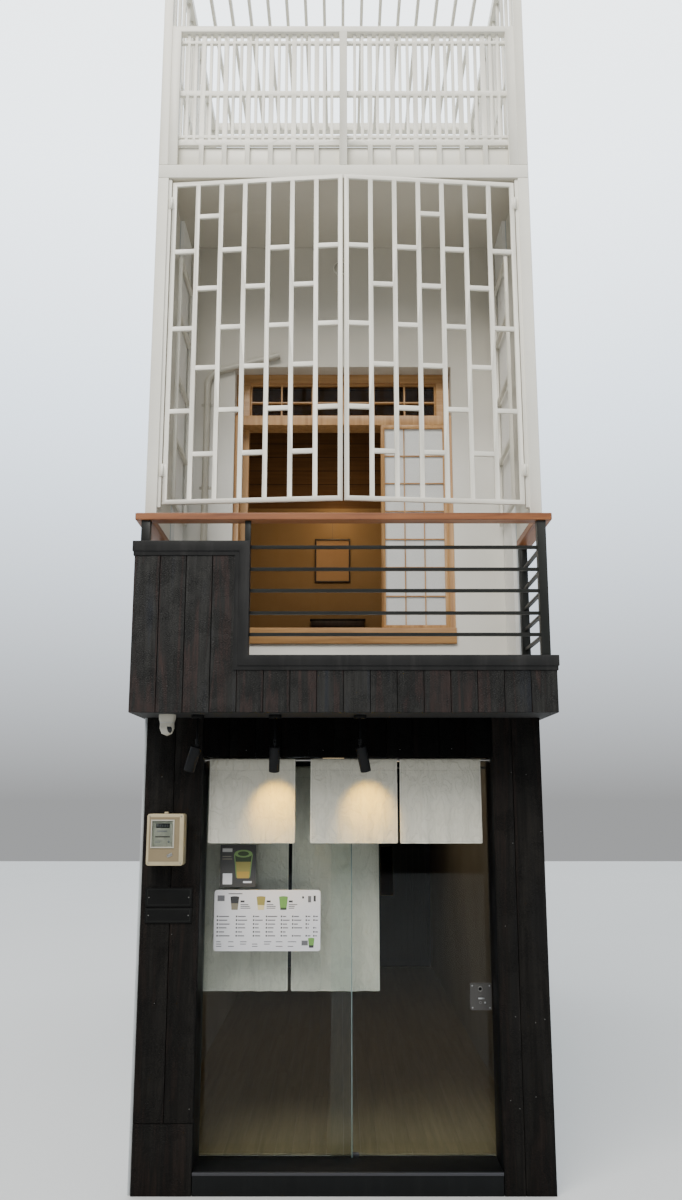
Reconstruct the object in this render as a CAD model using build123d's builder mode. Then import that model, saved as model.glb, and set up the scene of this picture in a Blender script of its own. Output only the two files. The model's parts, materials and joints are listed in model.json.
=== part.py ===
from build123d import *
import os
from math import cos, radians, sin

os.makedirs("parts", exist_ok=True)

# House body, in millimetres
house_half_width = 1256
house_depth = 7600
party_wall_thickness = 80
rear_wall_thickness = 100
ground_floor_level = 128
soffit_level = 2803
first_floor_level = 3000
roof_underside = 6500
roof_thickness = 102
wood_floor_thickness = 12

# Shop front
pier_depth = 300
board_thickness = 22
board_gap = 3
left_pier_width = 361
right_pier_width = 311
header_height = 198
header_lip = 50
pier_seam_inset = 184
skirting_height = 394
header_board_pitch = 163
trim_width = 15
trim_thickness = 2

# Glass sliding door
glass_thickness = 10
fixed_pane_front = 252
fixed_pane_right = 55
sliding_pane_front = 277
pane_overlap = 135
door_side_gap = 5
door_floor_gap = 6
track_height = 45
track_width = 36
track_wall = 3
track_slot = 14
running_gap = 0.3
trolley_length = 70
trolley_width = 26
trolley_height = 26
hanger_neck = 8
hanger_clamp = 16
hanger_clamp_height = 40
hanger_inset = 120
clamp_track_gap = 2
guide_length = 40
guide_height = 22
guide_base = 4
guide_clearance = 1.5
guide_cheek = 9
lock_width = 137
lock_height = 161
lock_bottom = 982
lock_plate = 8
lock_corner = 12
lock_knob_radius = 18
lock_knob_length = 22
lock_cylinder_radius = 14
lock_cylinder_proud = 1.5

# Hanging cloths and boards at the door
rod_radius = 8
cloth_thickness = 2
cloth_sheet = 5
outer_rod_depth = 100
outer_rod_drop = 66
outer_cloth_length = 527
outer_cloths = [(-862, -310), (-212, 345), (361, 883)]
inner_rod_depth = 420
inner_rod_drop = 105
inner_cloth_length = 1430
inner_cloths = [(-917, -365), (-339, 234)]
menu_left, menu_right = -830, -148
menu_bottom, menu_top = 1341, 1717
menu_thickness = 6
menu_corner = 18
poster_left, poster_right = -798, -567
poster_bottom, poster_top = 1735, 2000
card_thickness = 2
notice_left, notice_right = 240, 320
notice_bottom, notice_top = 1680, 1990

# Fittings on the left pier and the soffit
meter_inset, meter_width = 44, 227
meter_bottom, meter_top = 1891, 2201
meter_depth = 120
meter_corner = 16
meter_window_inset, meter_window_width = 32, 130
meter_window_bottom, meter_window_top = 2003, 2159
meter_window_recess = 5
plaque_inset, plaque_width = 29, 290
plaque_bottom, plaque_split, plaque_top = 1542, 1632, 1751
plaque_gap = 6
plaque_thickness = 8
camera_inset, camera_depth = 166, -230
camera_base_radius = 52
camera_base_height = 50
camera_neck_radius = 44
camera_ball_radius = 45
camera_ball_drop = 85
drain_radius = 11
drain_depth = 30

# Adjustable lamps under the soffit: place, way of leaning and angle from plumb
lamp_depth = -220
lamps = {"left": (-903, 143, 22), "middle": (-424, 96, 18), "right": (102, 53, 20)}
lamp_base_radius = 40
lamp_base_height = 22
lamp_socket_depth = 12
lamp_stem_radius = 6
lamp_pivot_drop = 178
lamp_fork_reach = 20
lamp_fork_width = 20
lamp_cheek = 4
lamp_tongue = 7
lamp_tongue_gap = 0.5
lamp_bridge = 8
lamp_pin_radius = 3
lamp_pin_gap = 0.3
lamp_tube_radius = 33
lamp_tube_start = 20
lamp_tube_length = 155
lamp_mouth_radius = 29
lamp_mouth_depth = 10

# Balcony
balcony_depth = 400
balcony_overhang = 44
panel_thickness = 25
cap_proud = 12
cap_width = 66
cap_depth = 85
low_cap_level = 3152
high_cap_level = 3869
step_edge = -581
bead_width = 27
bead_proud = 6
cap_round = 4
post_size = 55
post_inset = 63
short_post = 36
rail_bar = 20
rail_bar_levels = [3283, 3417, 3558, 3694, 3835]
handrail_bottom = 4004
handrail_thickness = 45
handrail_width = 100
handrail_proud = 3
handrail_round = 5

# White side fins and the two grille leaves between them
fin_thickness = 75
fin_inset = 20
fin_front = -230
jamb_width = 22
jamb_depth = 40
jamb_front = -215
jamb_ends = 20
leaf_bottom, leaf_top = 4160, 6470
leaf_hinge_gap = 7
leaf_meeting_gap = 2
leaf_angle = 5
leaf_bar = 30
leaf_depth = 20
leaf_columns = 7
odd_rungs = [4797, 5382, 5947]
even_rungs = [4497, 5098, 5670]
top_rung = 6204
left_top_rungs = [2]
right_top_rungs = [2, 4]
hinge_height = 80
hinge_levels = [4350, 6270]
hinge_radius = 9
hinge_plate = 3
hinge_reach = 20

# Folded lattices on the side walls of the recess
folded_front, folded_back = 60, 620
folded_bottom, folded_top = 4240, 6075
folded_inner = 1140
folded_thickness = 25
folded_rungs = [4700, 5160, 5620]
folded_bar = 28
folded_lug = 40

# Recess wall with its timber opening
recess_depth = 670
recess_wall_thickness = 200
recess_half_width = 815
recess_sill_bottom = 3385
recess_head = 5508
sill_proud = 20
sill_top = 3500
frame_set_back = 140
frame_face = 100
frame_head = 72
mid_rail_bottom, mid_rail_top = 5055, 5131
lining_face = 42
lining_set_back = 30
sash_set_back = 152
sash_depth = 28
sash_border = 15
sash_bar = 12
sash_panes = 6
pane_thickness = 4
leaf_pitch = 36
shoji_thickness = 30
shoji_width = 490
shoji_leaves_count = 3
shoji_stile = 28
shoji_bar = 8
shoji_bar_depth = 10
shoji_bar_inset = 6
shoji_columns = 3
shoji_rows = 7
paper_thickness = 1
wall_pipe_radius = 24
wall_pipe_x = -1020
wall_pipe_end = -484
wall_pipe_turn, wall_pipe_top = 5440, 5589
wall_pipe_bend = 120

# Room behind the recess
inner_wall_depth = 3000
inner_wall_thickness = 80
picture_x = -97
picture_width, picture_height = 340, 430
picture_bottom = 4340
picture_border = 14
picture_depth = 22
picture_board = 8

# Rear
back_panel_base = 12
back_panel_rib = 18
back_panel_pitch = 84
rear_window_half_width = 450
rear_window_bottom, rear_window_top = 3900, 5100
rear_window_border = 50
rear_window_mullion = 40
rear_window_depth = 60
rear_window_set_in = 20

# Roof terrace
parapet_height = 250
parapet_thickness = 80
cage_post = 65
cage_depth = 2430
cage_top = 8600
beam_height = 80
mid_beam_height = 30
mid_beam_depth = 50
slat_width = 25
slat_height = 50
slat_spaces = 16
lattice_bar_depth = 25
lattice_set_back = 25
stile_width = 63
centre_post_half = 27
top_rail_bottom, top_rail_top = 7659, 7704
lattice_spaces = 21
thin_bar, thick_bar = 21, 34
thick_every = 3
upper_rail = (7580, 7603)
middle_rail = (7160, 7200)
thin_low_rail = (6824, 6848)
low_rail = (6770, 6814)
sheet_thickness = 3
screen_spaces = 6
screen_bar = 25

# Places worked out from the sizes above
balcony_reach = balcony_depth + cap_proud
front = (balcony_reach - house_depth) / 2
rear = front + house_depth
inner_half_width = house_half_width - party_wall_thickness
wall_start = front + pier_depth
rear_wall_face = rear - rear_wall_thickness
roof_level = roof_underside + roof_thickness
balcony_half_width = house_half_width + balcony_overhang
slab_half_width = balcony_half_width - panel_thickness
cap_half_width = balcony_half_width + cap_proud
handrail_half_width = balcony_half_width + handrail_proud
post_centre = balcony_half_width - post_inset
fin_outer = balcony_half_width - fin_inset
fin_inner = fin_outer - fin_thickness
leaf_width = fin_inner - jamb_width - leaf_hinge_gap - leaf_meeting_gap
opening_left = left_pier_width - house_half_width
opening_right = house_half_width - right_pier_width
pier_seam = house_half_width - pier_seam_inset
header_underside = soffit_level - header_height
header_lip_level = header_underside - header_lip
sliding_pane_left = fixed_pane_right - pane_overlap
outer_rod_level = header_underside - outer_rod_drop
outer_cloth_bottom = outer_rod_level - outer_cloth_length
inner_rod_level = header_underside - inner_rod_drop
inner_cloth_bottom = inner_rod_level - inner_cloth_length
meter_left = meter_inset - house_half_width
meter_right = meter_left + meter_width
meter_window_left = meter_left + meter_window_inset
meter_window_right = meter_window_left + meter_window_width
plaque_left = plaque_inset - house_half_width
plaque_right = plaque_left + plaque_width
camera_x = camera_inset - house_half_width
lamp_pivot_level = soffit_level - lamp_pivot_drop
recess_face = front + recess_depth
recess_back = recess_face + recess_wall_thickness
cage_front = front + fin_front
cage_back = cage_front + cage_depth


def keep(piece, name):
    """Names a finished piece and writes its file."""
    piece.part.label = name
    export_step(piece.part, f"parts/{name}.step")


def upright(y):
    """A plane that faces the street, at depth y."""
    return Plane.XZ.offset(-y)


def block(x, y, z):
    """Adds a slab between two X, two Y and two Z values."""
    with Locations(((x[0] + x[1]) / 2, (y[0] + y[1]) / 2, (z[0] + z[1]) / 2)):
        Box(abs(x[1] - x[0]), y[1] - y[0], z[1] - z[0])


def patch(u, v, mode=Mode.ADD):
    """Adds a rectangle between two pairs of sketch values."""
    with Locations(((u[0] + u[1]) / 2, (v[0] + v[1]) / 2)):
        Rectangle(abs(u[1] - u[0]), abs(v[1] - v[0]), mode=mode)


def both_sides(inner, outer):
    """The same stretch of X on the left and on the right."""
    return [(-outer, -inner), (inner, outer)]


# Floors, walls and slabs
with BuildPart() as ground_slab:
    block((-inner_half_width, inner_half_width), (wall_start, rear_wall_face), (0, ground_floor_level))
keep(ground_slab, "ground_slab")

floor_top = ground_floor_level + wood_floor_thickness
panel_face = rear_wall_face - back_panel_base - back_panel_rib
with BuildPart() as wood_floor:
    block((-inner_half_width, inner_half_width), (wall_start, panel_face), (ground_floor_level, floor_top))
keep(wood_floor, "wood_floor")

with BuildPart() as party_walls:
    for side in both_sides(inner_half_width, house_half_width):
        block(side, (wall_start, rear), (0, roof_underside))
keep(party_walls, "party_walls")

with BuildPart() as rear_wall:
    with BuildSketch(upright(rear)):
        patch((-inner_half_width, inner_half_width), (0, roof_underside))
        patch(
            (-rear_window_half_width, rear_window_half_width),
            (rear_window_bottom, rear_window_top),
            mode=Mode.SUBTRACT,
        )
    extrude(amount=rear_wall_thickness)
keep(rear_wall, "rear_wall")

with BuildPart() as back_panel:
    rib_count = int(2 * inner_half_width / back_panel_pitch)
    with BuildSketch(Plane.XY.offset(floor_top)):
        patch((-inner_half_width, inner_half_width), (rear_wall_face - back_panel_base, rear_wall_face))
        with Locations((0, panel_face + back_panel_rib / 2)):
            with GridLocations(back_panel_pitch, 1, rib_count, 1):
                Rectangle(back_panel_pitch / 2, back_panel_rib)
    extrude(amount=soffit_level - floor_top)
keep(back_panel, "back_panel")

with BuildPart() as first_floor_slab:
    with BuildSketch(Plane.XY.offset(soffit_level)):
        patch((-slab_half_width, slab_half_width), (front - balcony_depth + panel_thickness, wall_start))
        patch((-inner_half_width, inner_half_width), (wall_start, rear_wall_face))
    extrude(amount=first_floor_level - soffit_level)
keep(first_floor_slab, "first_floor_slab")

with BuildPart() as roof_slab:
    with BuildSketch(Plane.XY.offset(roof_underside)):
        patch((-fin_outer, fin_outer), (cage_front, wall_start))
        patch((-house_half_width, house_half_width), (wall_start, rear))
    extrude(amount=roof_thickness)
    with BuildSketch(Plane.XY.offset(roof_level)):
        patch((-house_half_width, house_half_width), (cage_back, rear))
        patch(
            (parapet_thickness - house_half_width, house_half_width - parapet_thickness),
            (cage_back, rear - parapet_thickness),
            mode=Mode.SUBTRACT,
        )
    extrude(amount=parapet_height)
keep(roof_slab, "roof_slab")

# Shop front: piers and header in one piece, with boards on its face
with BuildPart() as shopfront_frame:
    with BuildSketch(upright(front + pier_depth)):
        patch((-house_half_width, house_half_width), (0, soffit_level))
        patch((opening_left, opening_right), (0, header_underside), mode=Mode.SUBTRACT)
    extrude(amount=pier_depth - board_thickness)
keep(shopfront_frame, "shopfront_frame")


def board_row(left, right, pitch, bottom, top):
    """Adds upright boards of one width side by side, with a gap between them."""
    count = max(1, round((right - left) / pitch))
    width = (right - left) / count
    for index in range(count):
        start = left + index * width
        patch((start + board_gap / 2, start + width - board_gap / 2), (bottom, top))


with BuildPart() as front_boards:
    with BuildSketch(upright(front + board_thickness)):
        patch((-house_half_width, -pier_seam - board_gap), (skirting_height + board_gap, soffit_level))
        patch((-pier_seam, opening_left - board_gap), (skirting_height + board_gap, soffit_level))
        patch((-house_half_width, opening_left - board_gap), (0, skirting_height))
        patch((opening_right + board_gap, pier_seam), (0, soffit_level))
        patch((pier_seam + board_gap, house_half_width), (0, soffit_level))
        board_row(opening_left, opening_right, header_board_pitch, header_lip_level, soffit_level)
    extrude(amount=board_thickness)
keep(front_boards, "front_boards")

with BuildPart() as entrance_plinth:
    block((opening_left, opening_right), (front, wall_start), (0, ground_floor_level))
keep(entrance_plinth, "entrance_plinth")

with BuildPart() as plinth_trim:
    with BuildSketch(Plane.YZ.offset(opening_left)):
        patch((front - trim_thickness, front + trim_width), (ground_floor_level, ground_floor_level + trim_thickness))
        patch((front - trim_thickness, front), (ground_floor_level - trim_width, ground_floor_level))
    extrude(amount=opening_right - opening_left)
keep(plinth_trim, "plinth_trim")

# Sliding glass door
with BuildPart() as fixed_pane:
    pane_face = front + fixed_pane_front
    block(
        (opening_left, fixed_pane_right),
        (pane_face, pane_face + glass_thickness),
        (ground_floor_level, header_underside),
    )
keep(fixed_pane, "fixed_pane")

sliding_face = front + sliding_pane_front
sliding_centre = sliding_face + glass_thickness / 2
sliding_right = opening_right - door_side_gap
track_bottom = header_underside - track_height
pane_top = track_bottom - clamp_track_gap - hanger_clamp / 2
pane_bottom = ground_floor_level + door_floor_gap
with BuildPart() as sliding_pane:
    block(
        (sliding_pane_left, sliding_right),
        (sliding_face, sliding_face + glass_thickness),
        (pane_bottom, pane_top),
    )
keep(sliding_pane, "sliding_pane")

with BuildPart() as door_track:
    with BuildSketch(Plane.YZ.offset(opening_left)):
        track_front = sliding_centre - track_width / 2
        track_back = sliding_centre + track_width / 2
        patch((track_front, track_back), (track_bottom, header_underside))
        patch(
            (track_front + track_wall, track_back - track_wall),
            (track_bottom + track_wall, header_underside - track_wall),
            mode=Mode.SUBTRACT,
        )
        patch(
            (sliding_centre - track_slot / 2, sliding_centre + track_slot / 2),
            (track_bottom, track_bottom + track_wall),
            mode=Mode.SUBTRACT,
        )
    extrude(amount=opening_right - opening_left)
    guide_slot = glass_thickness + 2 * guide_clearance
    with BuildSketch(Plane.YZ.offset(fixed_pane_right)):
        guide_half = guide_slot / 2 + guide_cheek
        patch(
            (sliding_centre - guide_half, sliding_centre + guide_half),
            (ground_floor_level, ground_floor_level + guide_height),
        )
        patch(
            (sliding_centre - guide_slot / 2, sliding_centre + guide_slot / 2),
            (ground_floor_level + guide_base, ground_floor_level + guide_height),
            mode=Mode.SUBTRACT,
        )
    extrude(amount=guide_length)
keep(door_track, "door_track")

with BuildPart() as door_hangers:
    trolley_bottom = track_bottom + track_wall + running_gap
    clamp_top = track_bottom - clamp_track_gap
    for centre in (sliding_pane_left + hanger_inset, sliding_right - hanger_inset):
        with BuildSketch(Plane.YZ.offset(centre - trolley_length / 2)):
            patch(
                (sliding_centre - trolley_width / 2, sliding_centre + trolley_width / 2),
                (trolley_bottom, trolley_bottom + trolley_height),
            )
            patch(
                (sliding_centre - hanger_neck / 2, sliding_centre + hanger_neck / 2),
                (pane_top, trolley_bottom + trolley_height / 2),
            )
            patch(
                (sliding_centre - hanger_clamp / 2, sliding_centre + hanger_clamp / 2),
                (clamp_top - hanger_clamp_height, clamp_top),
            )
            patch(
                (sliding_face, sliding_face + glass_thickness),
                (clamp_top - hanger_clamp_height, pane_top),
                mode=Mode.SUBTRACT,
            )
        extrude(amount=trolley_length)
keep(door_hangers, "door_hangers")

with BuildPart() as door_lock:
    lock_centre = (sliding_right - lock_width / 2, lock_bottom + lock_height / 2)
    for face in (sliding_face, sliding_face + glass_thickness + lock_plate):
        with BuildSketch(upright(face)):
            with Locations(lock_centre):
                RectangleRounded(lock_width, lock_height, lock_corner)
        extrude(amount=lock_plate)
    with BuildSketch(upright(sliding_face - lock_plate)):
        with Locations(lock_centre):
            Circle(lock_cylinder_radius)
    extrude(amount=lock_cylinder_proud)
    with BuildSketch(upright(sliding_face + glass_thickness + lock_plate)):
        with Locations(lock_centre):
            Circle(lock_knob_radius)
    extrude(amount=-lock_knob_length)
keep(door_lock, "door_lock")

with BuildPart() as door_notice:
    notice_back = sliding_face + glass_thickness
    block(
        (notice_left, notice_right),
        (notice_back, notice_back + card_thickness),
        (notice_bottom, notice_top),
    )
keep(door_notice, "door_notice")

# Hanging cloths on their rods
with BuildPart() as noren_rods:
    with BuildSketch(Plane.YZ.offset(opening_left)):
        with Locations((front + outer_rod_depth, outer_rod_level)):
            Circle(rod_radius)
    extrude(amount=opening_right - opening_left)
    with BuildSketch(Plane.YZ.offset(-inner_half_width)):
        with Locations((front + inner_rod_depth, inner_rod_level)):
            Circle(rod_radius)
    extrude(amount=2 * inner_half_width)
keep(noren_rods, "noren_rods")


def cloth_end(depth, rod_level, bottom):
    """Draws one hanging cloth from its end: a sleeve round the rod and a flat fall below it."""
    sleeve = rod_radius + running_gap
    with Locations((depth, rod_level)):
        Circle(sleeve + cloth_thickness)
    patch((depth - cloth_sheet / 2, depth + cloth_sheet / 2), (bottom, rod_level))
    with Locations((depth, rod_level)):
        Circle(sleeve, mode=Mode.SUBTRACT)


with BuildPart() as outer_noren:
    for left, right in outer_cloths:
        with BuildSketch(Plane.YZ.offset(left)):
            cloth_end(front + outer_rod_depth, outer_rod_level, outer_cloth_bottom)
        extrude(amount=right - left)
keep(outer_noren, "outer_noren")

with BuildPart() as inner_noren:
    for left, right in inner_cloths:
        with BuildSketch(Plane.YZ.offset(left)):
            cloth_end(front + inner_rod_depth, inner_rod_level, inner_cloth_bottom)
        extrude(amount=right - left)
keep(inner_noren, "inner_noren")

with BuildPart() as window_boards:
    with BuildSketch(upright(front + fixed_pane_front)):
        with Locations(((menu_left + menu_right) / 2, (menu_bottom + menu_top) / 2)):
            RectangleRounded(menu_right - menu_left, menu_top - menu_bottom, menu_corner)
    extrude(amount=menu_thickness)
    with BuildSketch(upright(front + fixed_pane_front)):
        patch((poster_left, poster_right), (poster_bottom, poster_top))
    extrude(amount=card_thickness)
keep(window_boards, "window_boards")

# Fittings on the left pier
with BuildPart() as meter_box:
    block((meter_left, meter_right), (front - meter_depth, front), (meter_bottom, meter_top))
    fillet(meter_box.edges().filter_by(Axis.Y), radius=meter_corner)
    with BuildSketch(upright(front - meter_depth)):
        patch((meter_window_left, meter_window_right), (meter_window_bottom, meter_window_top))
    extrude(amount=-meter_window_recess, mode=Mode.SUBTRACT)
keep(meter_box, "meter_box")

with BuildPart() as number_plaque:
    with BuildSketch(upright(front)):
        patch((plaque_left, plaque_right), (plaque_bottom, plaque_split))
        patch((plaque_left, plaque_right), (plaque_split + plaque_gap, plaque_top))
    extrude(amount=plaque_thickness)
keep(number_plaque, "number_plaque")

with BuildPart() as security_camera:
    camera_plane = Plane((camera_x, front + camera_depth, soffit_level), x_dir=(1, 0, 0), z_dir=(0, -1, 0))
    with BuildSketch(camera_plane):
        with BuildLine():
            Polyline(
                (0, 0),
                (camera_base_radius, 0),
                (camera_base_radius, -camera_base_height / 2),
                (camera_neck_radius, -camera_base_height),
                (camera_ball_radius, -camera_ball_drop),
                (camera_ball_radius * cos(radians(45)), -camera_ball_drop - camera_ball_radius * sin(radians(45))),
                (0, -camera_ball_drop - camera_ball_radius),
                close=True,
            )
        make_face()
    revolve(axis=Axis((camera_x, front + camera_depth, 0), (0, 0, 1)))
keep(security_camera, "security_camera")

with BuildPart() as drain_pipe:
    with BuildSketch(Plane.XY):
        with Locations((-house_half_width - drain_radius, front + drain_depth)):
            Circle(drain_radius)
    extrude(amount=soffit_level)
keep(drain_pipe, "drain_pipe")

# Adjustable lamps
with BuildPart() as lamp_bases:
    for name, (x, heading, lean) in lamps.items():
        with BuildSketch(Plane.XY.offset(soffit_level - lamp_base_height)):
            with Locations((x, front + lamp_depth)):
                Circle(lamp_base_radius)
        extrude(amount=lamp_base_height)
        with BuildSketch(Plane.XY.offset(soffit_level - lamp_base_height)):
            with Locations((x, front + lamp_depth)):
                Circle(lamp_stem_radius + running_gap)
        extrude(amount=lamp_socket_depth, mode=Mode.SUBTRACT)
keep(lamp_bases, "lamp_bases")


def lamp_arm(x, heading):
    """One stem with a fork and a pin at its foot, turned to its heading."""
    pivot = (x, front + lamp_depth, lamp_pivot_level)
    hinge = (-sin(radians(heading)), cos(radians(heading)), 0)
    fork_top = lamp_fork_reach + lamp_bridge
    half_gap = lamp_tongue / 2 + lamp_tongue_gap
    with BuildPart() as arm:
        with BuildSketch(Plane(pivot, x_dir=hinge, z_dir=(0, 0, 1)).offset(lamp_fork_reach)):
            Rectangle(2 * (half_gap + lamp_cheek), lamp_fork_width)
        extrude(amount=lamp_bridge)
        stem_top = soffit_level - lamp_base_height + lamp_socket_depth - running_gap
        with BuildSketch(Plane(pivot, x_dir=hinge, z_dir=(0, 0, 1)).offset(fork_top)):
            Circle(lamp_stem_radius)
        extrude(amount=stem_top - lamp_pivot_level - fork_top)
        for side in (-1, 1):
            face = Plane(pivot, x_dir=(0, 0, 1), z_dir=hinge).offset(side * (half_gap + lamp_cheek / 2))
            with BuildSketch(face):
                Circle(lamp_fork_width / 2)
                with Locations((lamp_fork_reach / 2, 0)):
                    Rectangle(lamp_fork_reach, lamp_fork_width)
            extrude(amount=lamp_cheek / 2, both=True)
        with BuildSketch(Plane(pivot, x_dir=(0, 0, 1), z_dir=hinge)):
            Circle(lamp_pin_radius)
        extrude(amount=half_gap + lamp_cheek, both=True)
    return arm


def lamp_head(x, heading, lean):
    """One round lamp tube with a tongue that hangs on the pin."""
    pivot = (x, front + lamp_depth, lamp_pivot_level)
    hinge = (-sin(radians(heading)), cos(radians(heading)), 0)
    beam = (
        cos(radians(heading)) * sin(radians(lean)),
        sin(radians(heading)) * sin(radians(lean)),
        -cos(radians(lean)),
    )
    along = Plane(pivot, x_dir=hinge, z_dir=beam)
    with BuildPart() as head:
        with BuildSketch(along.offset(lamp_tube_start)):
            Circle(lamp_tube_radius)
        extrude(amount=lamp_tube_length)
        with BuildSketch(along.offset(lamp_tube_start + lamp_tube_length)):
            Circle(lamp_mouth_radius)
        extrude(amount=-lamp_mouth_depth, mode=Mode.SUBTRACT)
        with BuildSketch(Plane(pivot, x_dir=beam, z_dir=hinge)):
            Circle(lamp_fork_width / 2)
            with Locations((lamp_tube_start / 2, 0)):
                Rectangle(lamp_tube_start, lamp_fork_width)
            Circle(lamp_pin_radius + lamp_pin_gap, mode=Mode.SUBTRACT)
        extrude(amount=lamp_tongue / 2, both=True)
    return head


for name, (x, heading, lean) in lamps.items():
    arm = lamp_arm(x, heading)
    keep(arm, f"lamp_arm_{name}")
    head = lamp_head(x, heading, lean)
    keep(head, f"lamp_head_{name}")

# Balcony box: clad panels, moulded cap, railing and handrail
panel_front = front - balcony_depth
panel_back = panel_front + panel_thickness
high_panel_top = high_cap_level - cap_width
low_panel_top = low_cap_level - cap_width


def step_line(inset, half_width):
    """The stepped line of the cap, seen from the street, set in from its outer edge."""
    edge = step_edge - inset
    return [
        (-half_width, high_cap_level - inset),
        (edge, high_cap_level - inset),
        (edge, low_cap_level - inset),
        (half_width, low_cap_level - inset),
    ]


with BuildPart() as balcony_panels:
    with BuildSketch(upright(panel_back)):
        with BuildLine():
            Polyline(
                *step_line(cap_width, balcony_half_width),
                (balcony_half_width, soffit_level),
                (-balcony_half_width, soffit_level),
                close=True,
            )
        make_face()
    extrude(amount=panel_thickness)
    for side, top in zip(both_sides(slab_half_width, balcony_half_width), (high_panel_top, low_panel_top)):
        block(side, (panel_back + board_gap, wall_start), (soffit_level, top))
keep(balcony_panels, "balcony_panels")

with BuildPart() as balcony_cap:
    cap_front = front - balcony_reach
    with BuildSketch(upright(cap_front)):
        with BuildLine():
            Polyline(
                *step_line(0, cap_half_width),
                *reversed(step_line(cap_width, cap_half_width)),
                close=True,
            )
        make_face()
    extrude(amount=-cap_depth)
    for side, top in zip(
        both_sides(cap_half_width - cap_depth, cap_half_width), (high_cap_level, low_cap_level)
    ):
        block(side, (cap_front + cap_depth, wall_start), (top - cap_width, top))
    fillet(balcony_cap.edges().filter_by(Axis.X).group_by(Axis.Y)[0].group_by(Axis.Z)[-1], radius=cap_round)
    bead_half_width = balcony_half_width + bead_proud
    with BuildSketch(upright(panel_front)):
        with BuildLine():
            Polyline(
                *step_line(cap_width, bead_half_width),
                *reversed(step_line(cap_width + bead_width, bead_half_width)),
                close=True,
            )
        make_face()
    extrude(amount=bead_proud)
    for side, top in zip(both_sides(balcony_half_width, bead_half_width), (high_panel_top, low_panel_top)):
        block(side, (panel_front, wall_start), (top - bead_width, top))
keep(balcony_cap, "balcony_cap")

with BuildPart() as balcony_railing:
    post_y = cap_front + cap_depth / 2
    rear_post_y = wall_start - post_size / 2
    half = post_size / 2
    for x, base in ((-post_centre, high_cap_level), (post_centre, low_cap_level)):
        for y in (post_y, rear_post_y):
            block((x - half, x + half), (y - half, y + half), (base, handrail_bottom))
    block(
        (step_edge - short_post, step_edge),
        (post_y - short_post / 2, post_y + short_post / 2),
        (high_cap_level, handrail_bottom),
    )
    for level in rail_bar_levels:
        span = (level - rail_bar / 2, level + rail_bar / 2)
        block((step_edge, post_centre - half), (post_y - rail_bar / 2, post_y + rail_bar / 2), span)
        block((post_centre - rail_bar / 2, post_centre + rail_bar / 2), (post_y, rear_post_y), span)
keep(balcony_railing, "balcony_railing")

with BuildPart() as handrail:
    with BuildSketch(Plane.XY.offset(handrail_bottom)):
        patch((-handrail_half_width, handrail_half_width), (cap_front, wall_start))
        patch(
            (handrail_width - handrail_half_width, handrail_half_width - handrail_width),
            (cap_front + handrail_width, wall_start),
            mode=Mode.SUBTRACT,
        )
    extrude(amount=handrail_thickness)
    fillet(handrail.faces().sort_by(Axis.Z)[-1].edges(), radius=handrail_round)
keep(handrail, "handrail")

# White fins with the hinge jambs of the grille
handrail_top = handrail_bottom + handrail_thickness
with BuildPart() as side_fins:
    for side in both_sides(fin_inner, fin_outer):
        block(side, (cage_front, wall_start), (handrail_top, roof_underside))
    for side in both_sides(fin_inner - jamb_width, fin_inner):
        block(
            side,
            (front + jamb_front, front + jamb_front + jamb_depth),
            (leaf_bottom - jamb_ends, roof_underside),
        )
keep(side_fins, "side_fins")


def grille_leaf(side, extra_columns):
    """One leaf of upright bars with staggered rungs, a little open on its hinges."""
    jamb_face = front + jamb_front
    hinge_x = side * (fin_inner - jamb_width - leaf_hinge_gap)
    turn = radians(leaf_angle)
    face = Plane(
        (hinge_x, jamb_face, 0),
        x_dir=(-side * cos(turn), -sin(turn), 0),
        z_dir=(-sin(turn), side * cos(turn), 0),
    )
    pitch = (leaf_width - leaf_bar) / leaf_columns
    with BuildPart() as leaf:
        with BuildSketch(face):
            for index in range(leaf_columns + 1):
                patch((index * pitch, index * pitch + leaf_bar), (leaf_bottom, leaf_top))
            for level in (leaf_bottom, leaf_top - leaf_bar):
                patch((0, leaf_width), (level, level + leaf_bar))
            for column in range(leaf_columns):
                rungs = list(odd_rungs if column % 2 == 0 else even_rungs)
                if column + 1 in extra_columns:
                    rungs.append(top_rung)
                for level in rungs:
                    patch((column * pitch, (column + 1) * pitch), (level - leaf_bar / 2, level + leaf_bar / 2))
        extrude(amount=side * leaf_depth)
        for level in hinge_levels:
            ends = sorted((hinge_x - side * hinge_reach, hinge_x + side * (leaf_hinge_gap + hinge_reach)))
            block(ends, (jamb_face - hinge_plate, jamb_face), (level, level + hinge_height))
            with Locations((hinge_x + side * leaf_hinge_gap / 2, jamb_face - hinge_radius, level + hinge_height / 2)):
                Cylinder(hinge_radius, hinge_height)
    return leaf


left_grille = grille_leaf(-1, left_top_rungs)
keep(left_grille, "left_grille")
right_grille = grille_leaf(1, right_top_rungs)
keep(right_grille, "right_grille")

with BuildPart() as folded_lattices:
    for side in (-1, 1):
        near = side * folded_inner
        with BuildSketch(Plane.YZ.offset(min(near, near + side * folded_thickness))):
            patch((front + folded_front, front + folded_back), (folded_bottom, folded_top))
            patch(
                (front + folded_front + folded_bar, front + folded_back - folded_bar),
                (folded_bottom + folded_bar, folded_top - folded_bar),
                mode=Mode.SUBTRACT,
            )
            for level in folded_rungs:
                patch((front + folded_front, front + folded_back), (level, level + folded_bar))
        extrude(amount=folded_thickness)
        for level in folded_rungs:
            lug = sorted((near + side * folded_thickness, side * inner_half_width))
            block(lug, (front + folded_back - folded_lug, front + folded_back), (level, level + folded_bar))
keep(folded_lattices, "folded_lattices")

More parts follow.
